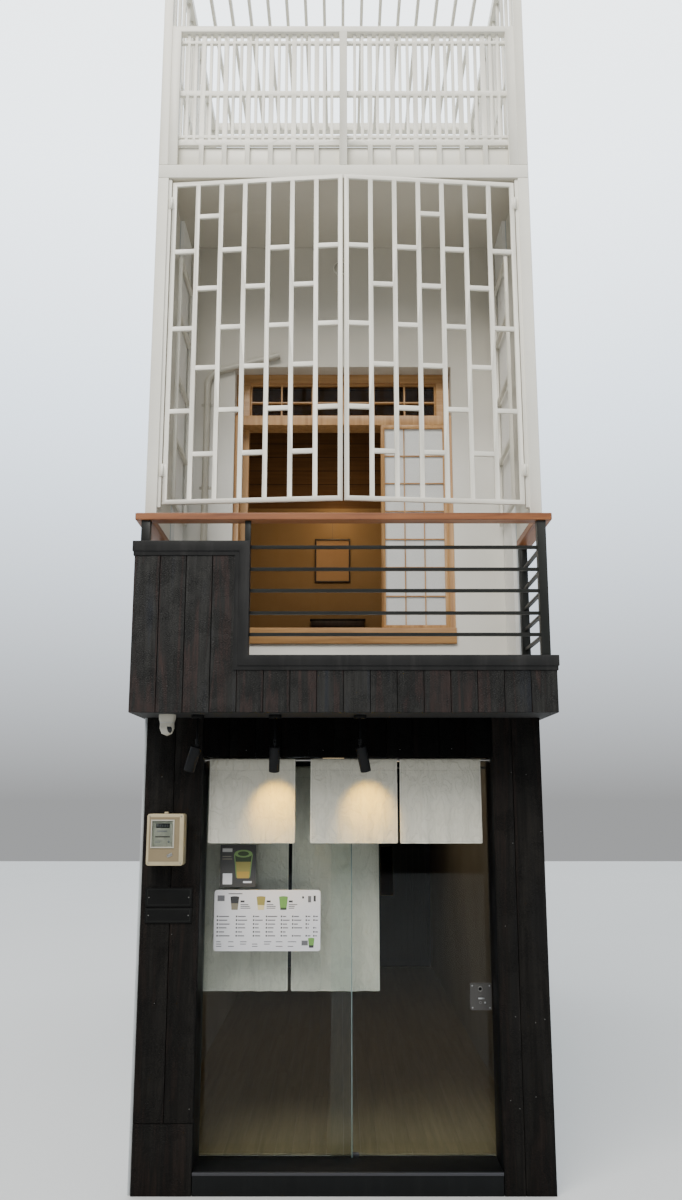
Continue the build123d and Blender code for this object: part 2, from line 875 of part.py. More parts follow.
# Wall of the recess with its opening
with BuildPart() as recess_wall:
    with BuildSketch(upright(recess_back)):
        patch((-inner_half_width, inner_half_width), (first_floor_level, roof_underside))
        patch(
            (-recess_half_width, recess_half_width),
            (recess_sill_bottom, recess_head),
            mode=Mode.SUBTRACT,
        )
    extrude(amount=recess_wall_thickness)
keep(recess_wall, "recess_wall")

lining_front = recess_face + lining_set_back
frame_front = recess_face + frame_set_back
with BuildPart() as timber_frame:
    block(
        (-recess_half_width, recess_half_width),
        (recess_face - sill_proud, recess_back),
        (recess_sill_bottom, sill_top),
    )
    with BuildSketch(upright(recess_back)):
        patch((-recess_half_width, recess_half_width), (sill_top, recess_head))
        patch(
            (frame_face - recess_half_width, recess_half_width - frame_face),
            (sill_top, recess_head - frame_head),
            mode=Mode.SUBTRACT,
        )
    extrude(amount=recess_back - frame_front)
    for side in both_sides(recess_half_width - lining_face, recess_half_width):
        block(side, (lining_front, frame_front), (sill_top, mid_rail_top))
    block(
        (-recess_half_width, recess_half_width),
        (lining_front, recess_back),
        (mid_rail_bottom, mid_rail_top),
    )
keep(timber_frame, "timber_frame")

sash_half_width = recess_half_width - frame_face
sash_bottom, sash_top = mid_rail_top, recess_head - frame_head
sash_back = recess_face + sash_set_back + sash_depth
with BuildPart() as transom_sash:
    with BuildSketch(upright(sash_back)):
        patch((-sash_half_width, sash_half_width), (sash_bottom, sash_top))
        patch(
            (sash_border - sash_half_width, sash_half_width - sash_border),
            (sash_bottom + sash_border, sash_top - sash_border),
            mode=Mode.SUBTRACT,
        )
        middle = (sash_bottom + sash_top) / 2
        patch((-sash_half_width, sash_half_width), (middle - sash_bar / 2, middle + sash_bar / 2))
        pane_pitch = 2 * (sash_half_width - sash_border / 2) / sash_panes
        with Locations((0, middle)):
            with GridLocations(pane_pitch, 1, sash_panes - 1, 1):
                Rectangle(sash_bar, sash_top - sash_bottom)
    extrude(amount=sash_depth)
keep(transom_sash, "transom_sash")

shoji_right = recess_half_width - lining_face
shoji_left = shoji_right - shoji_width
shoji_top = mid_rail_bottom
shoji_faces = [lining_front + index * leaf_pitch for index in range(shoji_leaves_count)]
with BuildPart() as shoji_leaves:
    for face in shoji_faces:
        with BuildSketch(upright(face)):
            patch((shoji_left, shoji_right), (sill_top, shoji_top))
            patch(
                (shoji_left + shoji_stile, shoji_right - shoji_stile),
                (sill_top + shoji_stile, shoji_top - shoji_stile),
                mode=Mode.SUBTRACT,
            )
        extrude(amount=-shoji_thickness)
        with BuildSketch(upright(face + shoji_bar_inset)):
            shoji_middle = ((shoji_left + shoji_right) / 2, (sill_top + shoji_top) / 2)
            column_pitch = (shoji_width - 2 * shoji_stile) / shoji_columns
            row_pitch = (shoji_top - sill_top - 2 * shoji_stile) / shoji_rows
            with Locations(shoji_middle):
                with GridLocations(column_pitch, 1, shoji_columns - 1, 1):
                    Rectangle(shoji_bar, shoji_top - sill_top - shoji_stile)
                with GridLocations(1, row_pitch, 1, shoji_rows - 1):
                    Rectangle(shoji_width - shoji_stile, shoji_bar)
        extrude(amount=-shoji_bar_depth)
keep(shoji_leaves, "shoji_leaves")

with BuildPart() as shoji_paper:
    for face in shoji_faces:
        paper_front = face + shoji_bar_inset + shoji_bar_depth
        block(
            (shoji_left + shoji_stile, shoji_right - shoji_stile),
            (paper_front, paper_front + paper_thickness),
            (sill_top + shoji_stile, shoji_top - shoji_stile),
        )
keep(shoji_paper, "shoji_paper")

with BuildPart() as wall_pipe:
    pipe_y = recess_face - wall_pipe_radius - running_gap
    with BuildLine():
        FilletPolyline(
            (wall_pipe_x, pipe_y, first_floor_level),
            (wall_pipe_x, pipe_y, wall_pipe_turn),
            (wall_pipe_end, pipe_y, wall_pipe_top),
            radius=wall_pipe_bend,
        )
    with BuildSketch(Plane.XY.offset(first_floor_level)):
        with Locations((wall_pipe_x, pipe_y)):
            Circle(wall_pipe_radius)
    sweep()
keep(wall_pipe, "wall_pipe")

# Room behind: wall with a picture frame, rear window
inner_wall_face = front + inner_wall_depth
with BuildPart() as inner_wall:
    block(
        (-inner_half_width, inner_half_width),
        (inner_wall_face, inner_wall_face + inner_wall_thickness),
        (first_floor_level, roof_underside),
    )
keep(inner_wall, "inner_wall")

with BuildPart() as picture:
    picture_middle = (picture_x, picture_bottom + picture_height / 2)
    with BuildSketch(upright(inner_wall_face)):
        with Locations(picture_middle):
            Rectangle(picture_width, picture_height)
            Rectangle(
                picture_width - 2 * picture_border,
                picture_height - 2 * picture_border,
                mode=Mode.SUBTRACT,
            )
    extrude(amount=picture_depth)
    with BuildSketch(upright(inner_wall_face)):
        with Locations(picture_middle):
            Rectangle(picture_width - picture_border, picture_height - picture_border)
    extrude(amount=picture_board)
keep(picture, "picture")

rear_window_face = rear - rear_window_set_in - rear_window_depth
with BuildPart() as rear_window:
    with BuildSketch(upright(rear_window_face)):
        patch((-rear_window_half_width, rear_window_half_width), (rear_window_bottom, rear_window_top))
        for side in both_sides(rear_window_mullion / 2, rear_window_half_width - rear_window_border):
            patch(
                side,
                (rear_window_bottom + rear_window_border, rear_window_top - rear_window_border),
                mode=Mode.SUBTRACT,
            )
    extrude(amount=-rear_window_depth)
keep(rear_window, "rear_window")

with BuildPart() as window_glass:
    block((-sash_half_width, sash_half_width), (sash_back, sash_back + pane_thickness), (sash_bottom, sash_top))
    for side in both_sides(rear_window_mullion / 2, rear_window_half_width - rear_window_border):
        glass_y = rear_window_face + rear_window_depth / 2
        block(
            side,
            (glass_y, glass_y + pane_thickness),
            (rear_window_bottom + rear_window_border, rear_window_top - rear_window_border),
        )
keep(window_glass, "window_glass")

# Roof terrace: steel cage, lattices and pergola
cage_inner = fin_outer - cage_post
cage_ys = [cage_front, (cage_front + cage_back - cage_post) / 2, cage_back - cage_post]
with BuildPart() as cage_frame:
    for side in both_sides(cage_inner, fin_outer):
        for y in cage_ys:
            block(side, (y, y + cage_post), (roof_level, cage_top))
        block(side, (cage_front, cage_back), (cage_top, cage_top + beam_height))
    for y in (cage_ys[0], cage_ys[-1]):
        block((-cage_inner, cage_inner), (y, y + cage_post), (cage_top, cage_top + beam_height))
    mid_beam_y = cage_ys[1] + cage_post / 2
    mid_beam_bottom = cage_top + slat_height
    block(
        (-cage_inner, cage_inner),
        (mid_beam_y - mid_beam_depth / 2, mid_beam_y + mid_beam_depth / 2),
        (mid_beam_bottom, mid_beam_bottom + mid_beam_height),
    )
keep(cage_frame, "cage_frame")

with BuildPart() as pergola_slats:
    slat_pitch = 2 * cage_inner / slat_spaces
    slat_front, slat_back = cage_front + cage_post, cage_back - cage_post
    with BuildSketch(Plane.XY.offset(cage_top)):
        with Locations((0, (slat_front + slat_back) / 2)):
            with GridLocations(slat_pitch, 1, slat_spaces - 1, 1):
                Rectangle(slat_width, slat_back - slat_front)
    extrude(amount=slat_height)
keep(pergola_slats, "pergola_slats")

lattice_inner = cage_inner - stile_width


def terrace_lattice(face, inward):
    """One end of the cage: thick and thin upright bars, rails, stiles and a deep top rail."""
    bars = face + inward * lattice_set_back
    pitch = (lattice_inner - centre_post_half) / lattice_spaces
    with BuildPart() as lattice:
        with BuildSketch(upright(bars)):
            for rail in (upper_rail, middle_rail, thin_low_rail, low_rail):
                patch((-lattice_inner, lattice_inner), rail)
            for index in range(1, lattice_spaces):
                thick = index % thick_every == 0
                width = thick_bar if thick else thin_bar
                foot = roof_level if thick else low_rail[0]
                for side in (-1, 1):
                    x = side * (centre_post_half + index * pitch)
                    patch((x - width / 2, x + width / 2), (foot, top_rail_bottom))
        extrude(amount=-inward * lattice_bar_depth)
        with BuildSketch(upright(face)):
            patch((-cage_inner, cage_inner), (top_rail_bottom, top_rail_top))
            patch((-centre_post_half, centre_post_half), (roof_level, top_rail_bottom))
            for side in both_sides(lattice_inner, cage_inner):
                patch(side, (roof_level, top_rail_bottom))
        extrude(amount=-inward * cage_post)
    return lattice


front_lattice = terrace_lattice(cage_front, 1)
keep(front_lattice, "front_lattice")
rear_lattice = terrace_lattice(cage_back, -1)
keep(rear_lattice, "rear_lattice")

with BuildPart() as terrace_sheets:
    for face, inward in ((cage_front, 1), (cage_back, -1)):
        near = face + inward * (lattice_set_back + lattice_bar_depth)
        depths = sorted((near, near + inward * sheet_thickness))
        for side in both_sides(centre_post_half, lattice_inner):
            block(side, depths, (roof_level, low_rail[0]))
keep(terrace_sheets, "terrace_sheets")

screen_x = cage_inner + (cage_post - screen_bar) / 2
for bay, start, stop in zip(("front", "rear"), cage_ys[:-1], cage_ys[1:]):
    near, far = start + cage_post, stop
    pitch = (far - near) / screen_spaces
    with BuildPart() as side_screens:
        for side in both_sides(screen_x, screen_x + screen_bar):
            with BuildSketch(Plane.YZ.offset(side[0])):
                for rail in (low_rail, (top_rail_bottom, top_rail_top)):
                    patch((near, far), rail)
                for index in range(1, screen_spaces):
                    y = near + index * pitch
                    patch((y - screen_bar / 2, y + screen_bar / 2), (roof_level, cage_top))
            extrude(amount=screen_bar)
    keep(side_screens, f"side_screens_{bay}")
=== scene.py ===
# %% [markdown]
# # A narrow townhouse in cells
# The house is already there as plain solids at real size: walls, slabs, boards, grilles and joints.
# This file dresses it. Each step says what the piece is on the real building, how it could be made,
# and why it is made this way here.

# %% Load the solids
import json
import random
from math import cos, pi, radians, sin

import bmesh
import bpy
from mathutils import Matrix, Vector

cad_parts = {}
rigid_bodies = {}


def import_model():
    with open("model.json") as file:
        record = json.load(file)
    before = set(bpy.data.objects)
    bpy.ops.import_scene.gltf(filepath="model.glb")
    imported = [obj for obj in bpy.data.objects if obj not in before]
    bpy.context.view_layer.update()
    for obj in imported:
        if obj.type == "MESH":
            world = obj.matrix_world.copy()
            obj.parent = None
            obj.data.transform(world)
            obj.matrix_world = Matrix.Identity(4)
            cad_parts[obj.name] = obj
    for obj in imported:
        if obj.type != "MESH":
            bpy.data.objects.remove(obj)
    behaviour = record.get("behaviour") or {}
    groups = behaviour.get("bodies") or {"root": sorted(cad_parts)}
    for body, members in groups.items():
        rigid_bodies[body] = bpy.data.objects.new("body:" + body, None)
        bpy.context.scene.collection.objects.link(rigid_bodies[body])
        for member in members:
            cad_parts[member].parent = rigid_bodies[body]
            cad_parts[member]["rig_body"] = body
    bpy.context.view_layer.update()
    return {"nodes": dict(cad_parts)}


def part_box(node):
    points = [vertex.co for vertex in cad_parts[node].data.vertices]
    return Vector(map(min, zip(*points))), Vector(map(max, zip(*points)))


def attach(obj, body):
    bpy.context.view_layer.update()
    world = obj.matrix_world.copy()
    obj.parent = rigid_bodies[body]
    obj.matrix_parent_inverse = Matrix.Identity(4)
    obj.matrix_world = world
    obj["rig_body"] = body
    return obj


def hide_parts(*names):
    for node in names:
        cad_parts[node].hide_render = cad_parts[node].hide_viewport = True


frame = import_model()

scene = bpy.context.scene
nodes = frame["nodes"]
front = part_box("front_boards")[0].y
print("solids:", len(nodes), "and the shop front stands at y =", round(front, 3))

# %% [markdown]
# ## The camera
# The street is narrow, so the picture was taken close by, from above head height, with a wide lens
# tilted upwards. Lines that rise lean towards each other. The place was worked out from the door,
# the storeys and the meter box.

# %% Set the camera
camera_gap, camera_height, camera_tilt = 6.5, 2.28, 11.25
eye = bpy.data.cameras.new("Street_camera")
eye.sensor_fit = "VERTICAL"
eye.sensor_height = 24
eye.lens = 20.2
eye.clip_end = 200
camera = bpy.data.objects.new("Street_camera", eye)
camera.location = (-0.016, front - camera_gap, camera_height)
camera.rotation_euler = (radians(90 + camera_tilt), 0, 0)
scene.collection.objects.link(camera)
scene.camera = camera
print("camera stands", camera_gap, "m in front of the piers")

# %% [markdown]
# ## Helpers for nodes
# A material or a Geometry Nodes tree is a handful of boxes joined by wires. Short functions add a box,
# set its values and join its wires, so that each recipe below reads from top to bottom. A box goes into
# the tree of the first wire that it is given.


# %% Boxes in a tree
def is_wire(value):
    """True for a socket."""
    return isinstance(value, bpy.types.NodeSocket)


def add(kind, values, tree=None, **settings):
    """Adds a box. A value that is a socket is joined by a wire, any other is set."""
    tree = tree or next(value.id_data for value in values.values() if is_wire(value))
    box = tree.nodes.new(kind)
    for key, value in settings.items():
        setattr(box, key, value)
    for key, value in values.items():
        if is_wire(value):
            tree.links.new(value, box.inputs[key])
        else:
            box.inputs[key].default_value = value
    return box


def sum_of(operation, *values):
    """The result of one sum."""
    return add("ShaderNodeMath", dict(enumerate(values)), operation=operation).outputs[0]


def times(first, second):
    return sum_of("MULTIPLY", first, second)


def plus(first, second):
    return sum_of("ADD", first, second)


def minus(first, second):
    return sum_of("SUBTRACT", first, second)


def mapped(value, low, high, to_low=0.0, to_high=1.0):
    """Maps low..high to another span and stops at its ends."""
    return add("ShaderNodeMapRange", {"Value": value, "From Min": low, "From Max": high,
                                      "To Min": to_low, "To Max": to_high}).outputs[0]


def spread(mask, low, high):
    """Maps a mask from 0..1 to low..high."""
    return mapped(mask, 0.0, 1.0, low, high)


def near(value, centre, half):
    """1 at a value, falling to 0 at a half width from it."""
    return mapped(sum_of("ABSOLUTE", minus(value, centre)), 0.0, half, 1.0, 0.0)


def parts_of(point):
    """A point's three numbers."""
    return add("ShaderNodeSeparateXYZ", {0: point}).outputs


def point_of(x=0.0, y=0.0, z=0.0):
    """A point from three numbers."""
    return add("ShaderNodeCombineXYZ", {0: x, 1: y, 2: z}).outputs[0]


def moved(place, scale=(1, 1, 1), turn=(0, 0, 0)):
    """Coordinates that are stretched and turned."""
    return add("ShaderNodeMapping", {"Vector": place, "Scale": scale, "Rotation": turn}).outputs[0]


def noise(place, scale, detail, rough=0.5, bend=0.0):
    """A cloudy mask."""
    return add("ShaderNodeTexNoise", {"Vector": place, "Scale": scale, "Detail": detail,
                                      "Roughness": rough, "Distortion": bend}).outputs[0]


def ramp(mask, stops):
    """Turns a mask into colours at the given stops."""
    box = add("ShaderNodeValToRGB", {"Fac": mask})
    points = box.color_ramp.elements
    while len(points) < len(stops):
        points.new(0.5)
    for point, (position, colour) in zip(points, stops):
        point.position = position
        point.color = (*colour, 1)
    return box.outputs["Color"]


def tones(mask, first, second, low=0.3, high=0.7):
    """Two colours with a run between them."""
    return ramp(mask, [(low, first), (high, second)])


def dim(colour, share):
    """A darker colour."""
    return tuple(part * share for part in colour)


def blend(mask, first, second, kind="MIX"):
    """Mixes two colours by a mask."""
    values = {key: (*value, 1) if isinstance(value, tuple) else value
              for key, value in {0: mask, 6: first, 7: second}.items()}
    return add("ShaderNodeMix", values, data_type="RGBA", blend_type=kind).outputs[2]


def group_of(name, numbers, masks):
    """An empty shader group: coordinates and numbers go in, masks come out."""
    tree = bpy.data.node_groups.new(name, "ShaderNodeTree")
    tree.interface.new_socket("Vector", in_out="INPUT", socket_type="NodeSocketVector")
    for label, value in numbers.items():
        tree.interface.new_socket(label, in_out="INPUT", socket_type="NodeSocketFloat").default_value = value
    for label in masks:
        tree.interface.new_socket(label, in_out="OUTPUT", socket_type="NodeSocketFloat")
    return tree, add("NodeGroupInput", {}, tree).outputs


print("helpers for trees are ready")

# %% [markdown]
# ## Effects that several finishes share
# Wood of all kinds has long grain, walls and paint have soft mottling and rain marks, and cloth has a
# weave. Each effect is one group with named sockets, built once and placed in each material with its
# own values.

# %% Long grain
grain_group, enter = group_of("Long_grain", {"Across": 30.0, "Along": 1.5}, ("Streak", "Fibre"))
parts = parts_of(enter["Vector"])
stretched = point_of(times(parts[0], enter["Across"]), times(parts[1], enter["Across"]),
                     times(parts[2], enter["Along"]))
add("NodeGroupOutput", {"Streak": noise(stretched, 1, 5, 0.6, 0.4), "Fibre": noise(stretched, 6, 3, 0.7)})
print("group:", grain_group.name)

# %% Soft mottling and rain marks
mottle_group, enter = group_of("Mottle", {"Patch Scale": 1.2, "Grit Scale": 90.0}, ("Patch", "Grit", "Rain"))
falling = moved(enter["Vector"], (9, 9, 0.5))
add("NodeGroupOutput", {
    "Patch": noise(enter["Vector"], enter["Patch Scale"], 6, 0.6),
    "Grit": noise(enter["Vector"], enter["Grit Scale"], 3),
    "Rain": mapped(noise(falling, 1.6, 5, 0.65), 0.52, 0.78)})
print("group:", mottle_group.name)

# %% Plain weave, read from the cloth's own flat map in metres
weave_group, enter = group_of("Plain_weave", {"Threads": 1100.0}, ("Thread", "Slub"))
parts = parts_of(enter["Vector"])
waves = [sum_of("SINE", times(parts[axis], enter["Threads"])) for axis in (0, 1)]
add("NodeGroupOutput", {"Thread": spread(times(*waves), 0.0, 1.0),
                        "Slub": noise(moved(enter["Vector"], (160, 7, 1)), 1, 4)})
print("group:", weave_group.name)


# %% Start a finish
def finish_named(name, **constants):
    """A material with these plain values, its shader and its object coordinates."""
    made = bpy.data.materials.new(name)
    made.use_nodes = True
    shader = made.node_tree.nodes["Principled BSDF"]
    for label, value in constants.items():
        shader.inputs[label.replace("_", " ")].default_value = value
    return made, shader, add("ShaderNodeTexCoord", {}, made.node_tree).outputs["Object"]


def wire(shader, colour, rough=None, height=None, strength=0.3, reach=0.002):
    """Joins a colour, a roughness and a height for bumps to the shader."""
    links = shader.id_data.links
    links.new(colour, shader.inputs["Base Color"])
    if rough is not None:
        links.new(rough, shader.inputs["Roughness"])
    if height is not None:
        bump = add("ShaderNodeBump", {"Strength": strength, "Distance": reach, "Height": height})
        links.new(bump.outputs[0], shader.inputs["Normal"])


def grain_of(place, across, along):
    return add("ShaderNodeGroup", {"Vector": place, "Across": across, "Along": along},
               node_tree=grain_group).outputs


def mottle_of(place, patch_scale, grit_scale=90.0):
    return add("ShaderNodeGroup", {"Vector": place, "Patch Scale": patch_scale, "Grit Scale": grit_scale},
               node_tree=mottle_group).outputs


def carried(shader, name):
    """A value that the mesh carries."""
    return add("ShaderNodeAttribute", {}, shader.id_data, attribute_name=name).outputs["Fac"]


def own_place(place, tone, sideways, upwards):
    """Coordinates that each board's tone shifts, so that no two boards share their grain."""
    shift = point_of(times(tone, sideways), 0.0, times(tone, upwards))
    return add("ShaderNodeVectorMath", {0: place, 1: shift}, operation="ADD").outputs[0]


print("helpers for finishes are ready")

# %% [markdown]
# ## Charred boards
# The shop front and the balcony are clad in boards that were scorched and brushed: nearly black, with
# a fine crackle and slightly different browns, reds and blues from board to board. The crackle is a
# stretched cell pattern, the grain is the shared group, and each board's own tint comes from an
# attribute named tone that its mesh carries.


# %% Charred board finish
def charred(name, light, shine, grey, red, blue):
    made, shader, place = finish_named(name, Specular_IOR_Level=shine)
    own = own_place(place, carried(shader, "tone"), 29.0, 7.0)
    bands, grain, patches = grain_of(own, 7.5, 0.45), grain_of(own, 46.0, 1.4), mottle_of(own, 5.0, 160.0)
    cells = add("ShaderNodeTexVoronoi", {"Vector": moved(own, (62, 62, 118)), "Scale": 1.0,
                                         "Randomness": 1.0}, feature="DISTANCE_TO_EDGE")
    cool, middle, warm = (dim(shade, light) for shade in (blue, grey, red))
    dark = dim(middle, 0.45)
    banded = ramp(bands["Streak"], [(0.33, cool), (0.42, middle), (0.485, dark), (0.53, warm),
                                    (0.59, dark), (0.68, middle)])
    streaks = ramp(grain["Streak"], [(0.3, (0.42, 0.40, 0.40)), (0.55, (0.80, 0.78, 0.77)),
                                     (0.72, (1.0, 1.0, 1.0))])
    burnt = mapped(patches["Patch"], 0.42, 0.58, 0.15, 0.85)
    cracked = times(minus(1.0, mapped(cells.outputs[0], 0.0, 0.22)), burnt)
    colour = blend(cracked, blend(0.9, banded, streaks, "MULTIPLY"), dim(middle, 0.12))
    wire(shader, colour, spread(grain["Fibre"], 0.45, 0.75), minus(times(grain["Streak"], 0.8), cracked),
         0.8, 0.004)
    return made


grey_char, red_char, blue_char = (0.050, 0.049, 0.045), (0.066, 0.038, 0.033), (0.026, 0.031, 0.042)
balcony_char = charred("Charred_boards_balcony", 0.47, 0.20, grey_char, red_char, blue_char)
# The shop front's finish is darker than the balcony's, partly for a darker board tone and partly for painted shade
# under the balcony.
shop_char_part_shaded = charred("Charred_boards_shop_front_part_shaded", 0.26, 0.10, (0.05, 0.044, 0.037), (0.057, 0.039, 0.031),
                    (0.035, 0.033, 0.031))
# The header's finish is painted shade: the boards there are coloured near black, with little shine, for the shade
# under the balcony.
header_char_painted_shade = charred("Charred_boards_header_painted_shade", 0.05, 0.04, grey_char, red_char, grey_char)
print("finishes:", balcony_char.name, shop_char_part_shaded.name, header_char_painted_shade.name)


# %% Satin black stain on the moulded cap and the plinth
def stained(name, colour, spots):
    made, shader, place = finish_named(name, Specular_IOR_Level=0.2)
    fibre, mottle = grain_of(place, 22.0, 22.0)["Fibre"], mottle_of(place, 5.0)
    tinted = tones(mottle["Patch"], dim(colour, 0.55), colour)
    dusty = blend(times(mottle["Rain"], spots), tinted, (0.09, 0.085, 0.08))
    wire(shader, dusty, spread(fibre, 0.38, 0.6), fibre, 0.25, 0.001)
    return made


cap_stain = stained("Black_stain_on_cap", (0.014, 0.0137, 0.0135), 0.16)
plinth_stain = stained("Black_stain_on_plinth", (0.0022, 0.0030, 0.0034), 0.04)
print("finishes:", cap_stain.name, plinth_stain.name)

# %% [markdown]
# ## White paint, plaster and concrete
# The cage, the lattices and the grille leaves are steel with white gloss paint that has gone satin.
# The fins and the walls are painted plaster. Both show soft mottling and faint rain marks. The boundary
# between the near-black underside of the balcony, which is painted shade, and the room's ceiling is on one
# slab, so its finish picks by place.


# %% Paint and plaster finishes
def painted(name, colour, dirt, rough_low, rough_high, bump, patch_scale=1.4, grit_scale=60.0, shine=0.5):
    made, shader, place = finish_named(name, Specular_IOR_Level=shine)
    mottle = mottle_of(place, patch_scale, grit_scale)
    base = tones(mottle["Patch"], dim(colour, 1 - dirt), colour, 0.35, 0.62)
    grimy = dim(colour[:2], 0.62) + (colour[2] * 0.56,)
    streaked = blend(times(mottle["Rain"], dirt * 1.6), base, grimy)
    wire(shader, streaked, spread(mottle["Patch"], rough_low, rough_high), mottle["Grit"], bump, 0.0015)
    return made


white_steel = painted("White_paint_on_steel", (0.72, 0.695, 0.61), 0.07, 0.32, 0.5, 0.05, 3.0, 40.0)
white_plaster = painted("White_plaster", (0.72, 0.70, 0.625), 0.08, 0.7, 0.9, 0.12)
side_plaster = painted("Side_wall_plaster", (0.60, 0.64, 0.67), 0.16, 0.75, 0.95, 0.25, 0.7)
roof_coat = painted("Roof_coating", (0.50, 0.51, 0.50), 0.25, 0.7, 0.9, 0.3, 0.9)
dark_steel = painted("Dark_green_grey_paint", (0.013, 0.0138, 0.012), 0.25, 0.38, 0.52, 0.08, 4.0, shine=0.25)
cream_plastic = painted("Cream_plastic", (0.42, 0.350, 0.215), 0.22, 0.35, 0.5, 0.03, 7.0)
ivory_plastic = painted("Ivory_plastic", (0.42, 0.395, 0.33), 0.10, 0.35, 0.5, 0.03, 9.0)
black_plastic = painted("Black_powder_coat", (0.004, 0.004, 0.0038), 0.2, 0.42, 0.58, 0.15, 6.0, 400.0, 0.12)
grey_plastic = painted("Grey_pipe_plastic", (0.40, 0.42, 0.43), 0.2, 0.45, 0.6, 0.05, 5.0)
navy_panel = painted("Navy_ribbed_panel", (0.018, 0.030, 0.040), 0.3, 0.5, 0.7, 0.1, 2.0)
board_white = painted("White_laminate", (0.66, 0.655, 0.68), 0.02, 0.25, 0.35, 0.01, 4.0)
print("finishes:", white_steel.name, white_plaster.name, side_plaster.name)

# %% Recess plaster, with painted shade: darker and warmer towards its ceiling
recess_plaster, shader, place = finish_named("Recess_plaster")
mottle = mottle_of(place, 1.1)
# The colour darkens and warms with height towards the ceiling: painted shade.
age_and_shade_tint = ramp(mapped(parts_of(place)[2], 4.6, 6.6), [
    (0.05, (0.80, 0.78, 0.72)), (0.25, (0.575, 0.55, 0.49)), (0.5, (0.53, 0.50, 0.43)),
    (1.0, (0.565, 0.53, 0.45))])
patchy = tones(mottle["Patch"], (0.86, 0.86, 0.86), (1.0, 1.0, 1.0))
wire(shader, blend(0.5, age_and_shade_tint, patchy, "MULTIPLY"), spread(mottle["Rain"], 0.75, 0.92), mottle["Grit"], 0.10)
print("finish:", recess_plaster.name)

# %% One slab: near black under the balcony as painted shade, white ceiling, grey top
slab_finish, shader, place = finish_named("Slab_by_place")
mottle, spot = mottle_of(place, 1.2), parts_of(place)
outside = sum_of("LESS_THAN", spot[1], front + 0.3)
low = sum_of("LESS_THAN", spot[2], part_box("first_floor_slab")[1].z - 0.002)
ceiling = tones(mottle["Patch"], (0.60, 0.60, 0.58), (0.72, 0.72, 0.70))
topping = tones(mottle["Patch"], (0.30, 0.29, 0.27), (0.42, 0.41, 0.38))
# Under the balcony the slab is coloured near black: painted shade.
soffit_painted_shade = tones(mottle["Patch"], (0.003, 0.003, 0.003), (0.006, 0.0055, 0.005))
wire(shader, blend(low, topping, blend(outside, ceiling, soffit_painted_shade)), spread(mottle["Patch"], 0.6, 0.9),
     mottle["Grit"], 0.2)
print("finish:", slab_finish.name)

# %% [markdown]
# ## Oiled and plain wood
# The handrail is a red-brown oiled board, the frame of the opening is lighter and yellower, and the
# shop's floor is pale planks. The grain has to run along each board, so the coordinates are turned
# first, and then the shared group draws it.


# %% Wood finishes
def wood(name, turn, dark, middle, pale):
    made, shader, place = finish_named(name, Coat_Weight=0.08, Coat_Roughness=0.35)
    tone = carried(shader, "tone")
    grain = grain_of(own_place(moved(place, turn=turn), tone, 37.0, 11.0), 26.0, 1.3)
    colour = ramp(grain["Streak"], [(0.3, dark), (0.5, middle), (0.72, pale)])
    board = blend(spread(tone, 0.0, 0.22), blend(times(grain["Fibre"], 0.35), colour, dark), dark)
    wire(shader, board, spread(grain["Fibre"], 0.35, 0.55), grain["Fibre"], 0.25, 0.0008)
    return made


along_x, along_y, upright = (0, radians(90), 0), (radians(90), 0, 0), (0, 0, 0)
rail_colours = ((0.11, 0.031, 0.008), (0.235, 0.080, 0.022), (0.33, 0.130, 0.040))
frame_colours = ((0.29, 0.145, 0.050), (0.45, 0.245, 0.090), (0.55, 0.33, 0.14))
rail_wood_x = wood("Handrail_wood_across", along_x, *rail_colours)
rail_wood_y = wood("Handrail_wood_along", along_y, *rail_colours)
frame_wood = wood("Frame_wood_upright", upright, *frame_colours)
frame_wood_x = wood("Frame_wood_level", along_x, *frame_colours)
plank_wood = wood("Floor_planks", along_y, (0.115, 0.090, 0.047), (0.165, 0.132, 0.072), (0.215, 0.178, 0.10))
dark_wood = wood("Dark_frame_wood", upright, (0.012, 0.008, 0.006), (0.03, 0.018, 0.012), (0.05, 0.03, 0.02))
print("finishes:", rail_wood_x.name, frame_wood.name, plank_wood.name)

# %% Ochre plaster with brown boards above
board_height, boards_from = 0.14, 5.08
ochre_wall, shader, place = finish_named("Ochre_plaster_and_boards")
mottle, height = mottle_of(place, 1.1), parts_of(place)[2]
plaster = tones(mottle["Patch"], (0.215, 0.138, 0.058), (0.285, 0.187, 0.082))
timber = tones(grain_of(moved(place, turn=along_x), 24.0, 1.2)["Streak"],
               (0.085, 0.040, 0.011), (0.15, 0.072, 0.021))
groove = sum_of("LESS_THAN", sum_of("FRACT", sum_of("DIVIDE", height, board_height)), 0.06)
boards = blend(groove, timber, (0.030, 0.014, 0.005))
wire(shader, blend(sum_of("GREATER_THAN", height, boards_from), plaster, boards),
     spread(mottle["Rain"], 0.7, 0.85), mottle["Grit"], 0.15)
print("finish:", ochre_wall.name)

# %% [markdown]
# ## Glass, metal, paper and cloth
# Clear glass is a plain transmission shader with a very faint green. The paper of the sliding screens
# lets a little light through and has long fibres. The cloths are undyed linen: a plain weave with
# thicker threads here and there.

# %% Clear glass and polished glass edges
glass, shader, place = finish_named(
    "Clear_glass", Roughness=0.0, IOR=1.2, Transmission_Weight=1.0, Specular_IOR_Level=0.2)
wire(shader, tones(mottle_of(place, 2.5)["Patch"], (0.93, 0.975, 0.965), (0.95, 0.985, 0.975)))
glass_edge, shader, place = finish_named("Glass_edge", IOR=1.45, Transmission_Weight=0.15)
mottle = mottle_of(place, 9.0)
wire(shader, tones(mottle["Patch"], (0.10, 0.15, 0.15), (0.16, 0.22, 0.22)), spread(mottle["Grit"], 0.12, 0.3))
print("finishes:", glass.name, glass_edge.name)


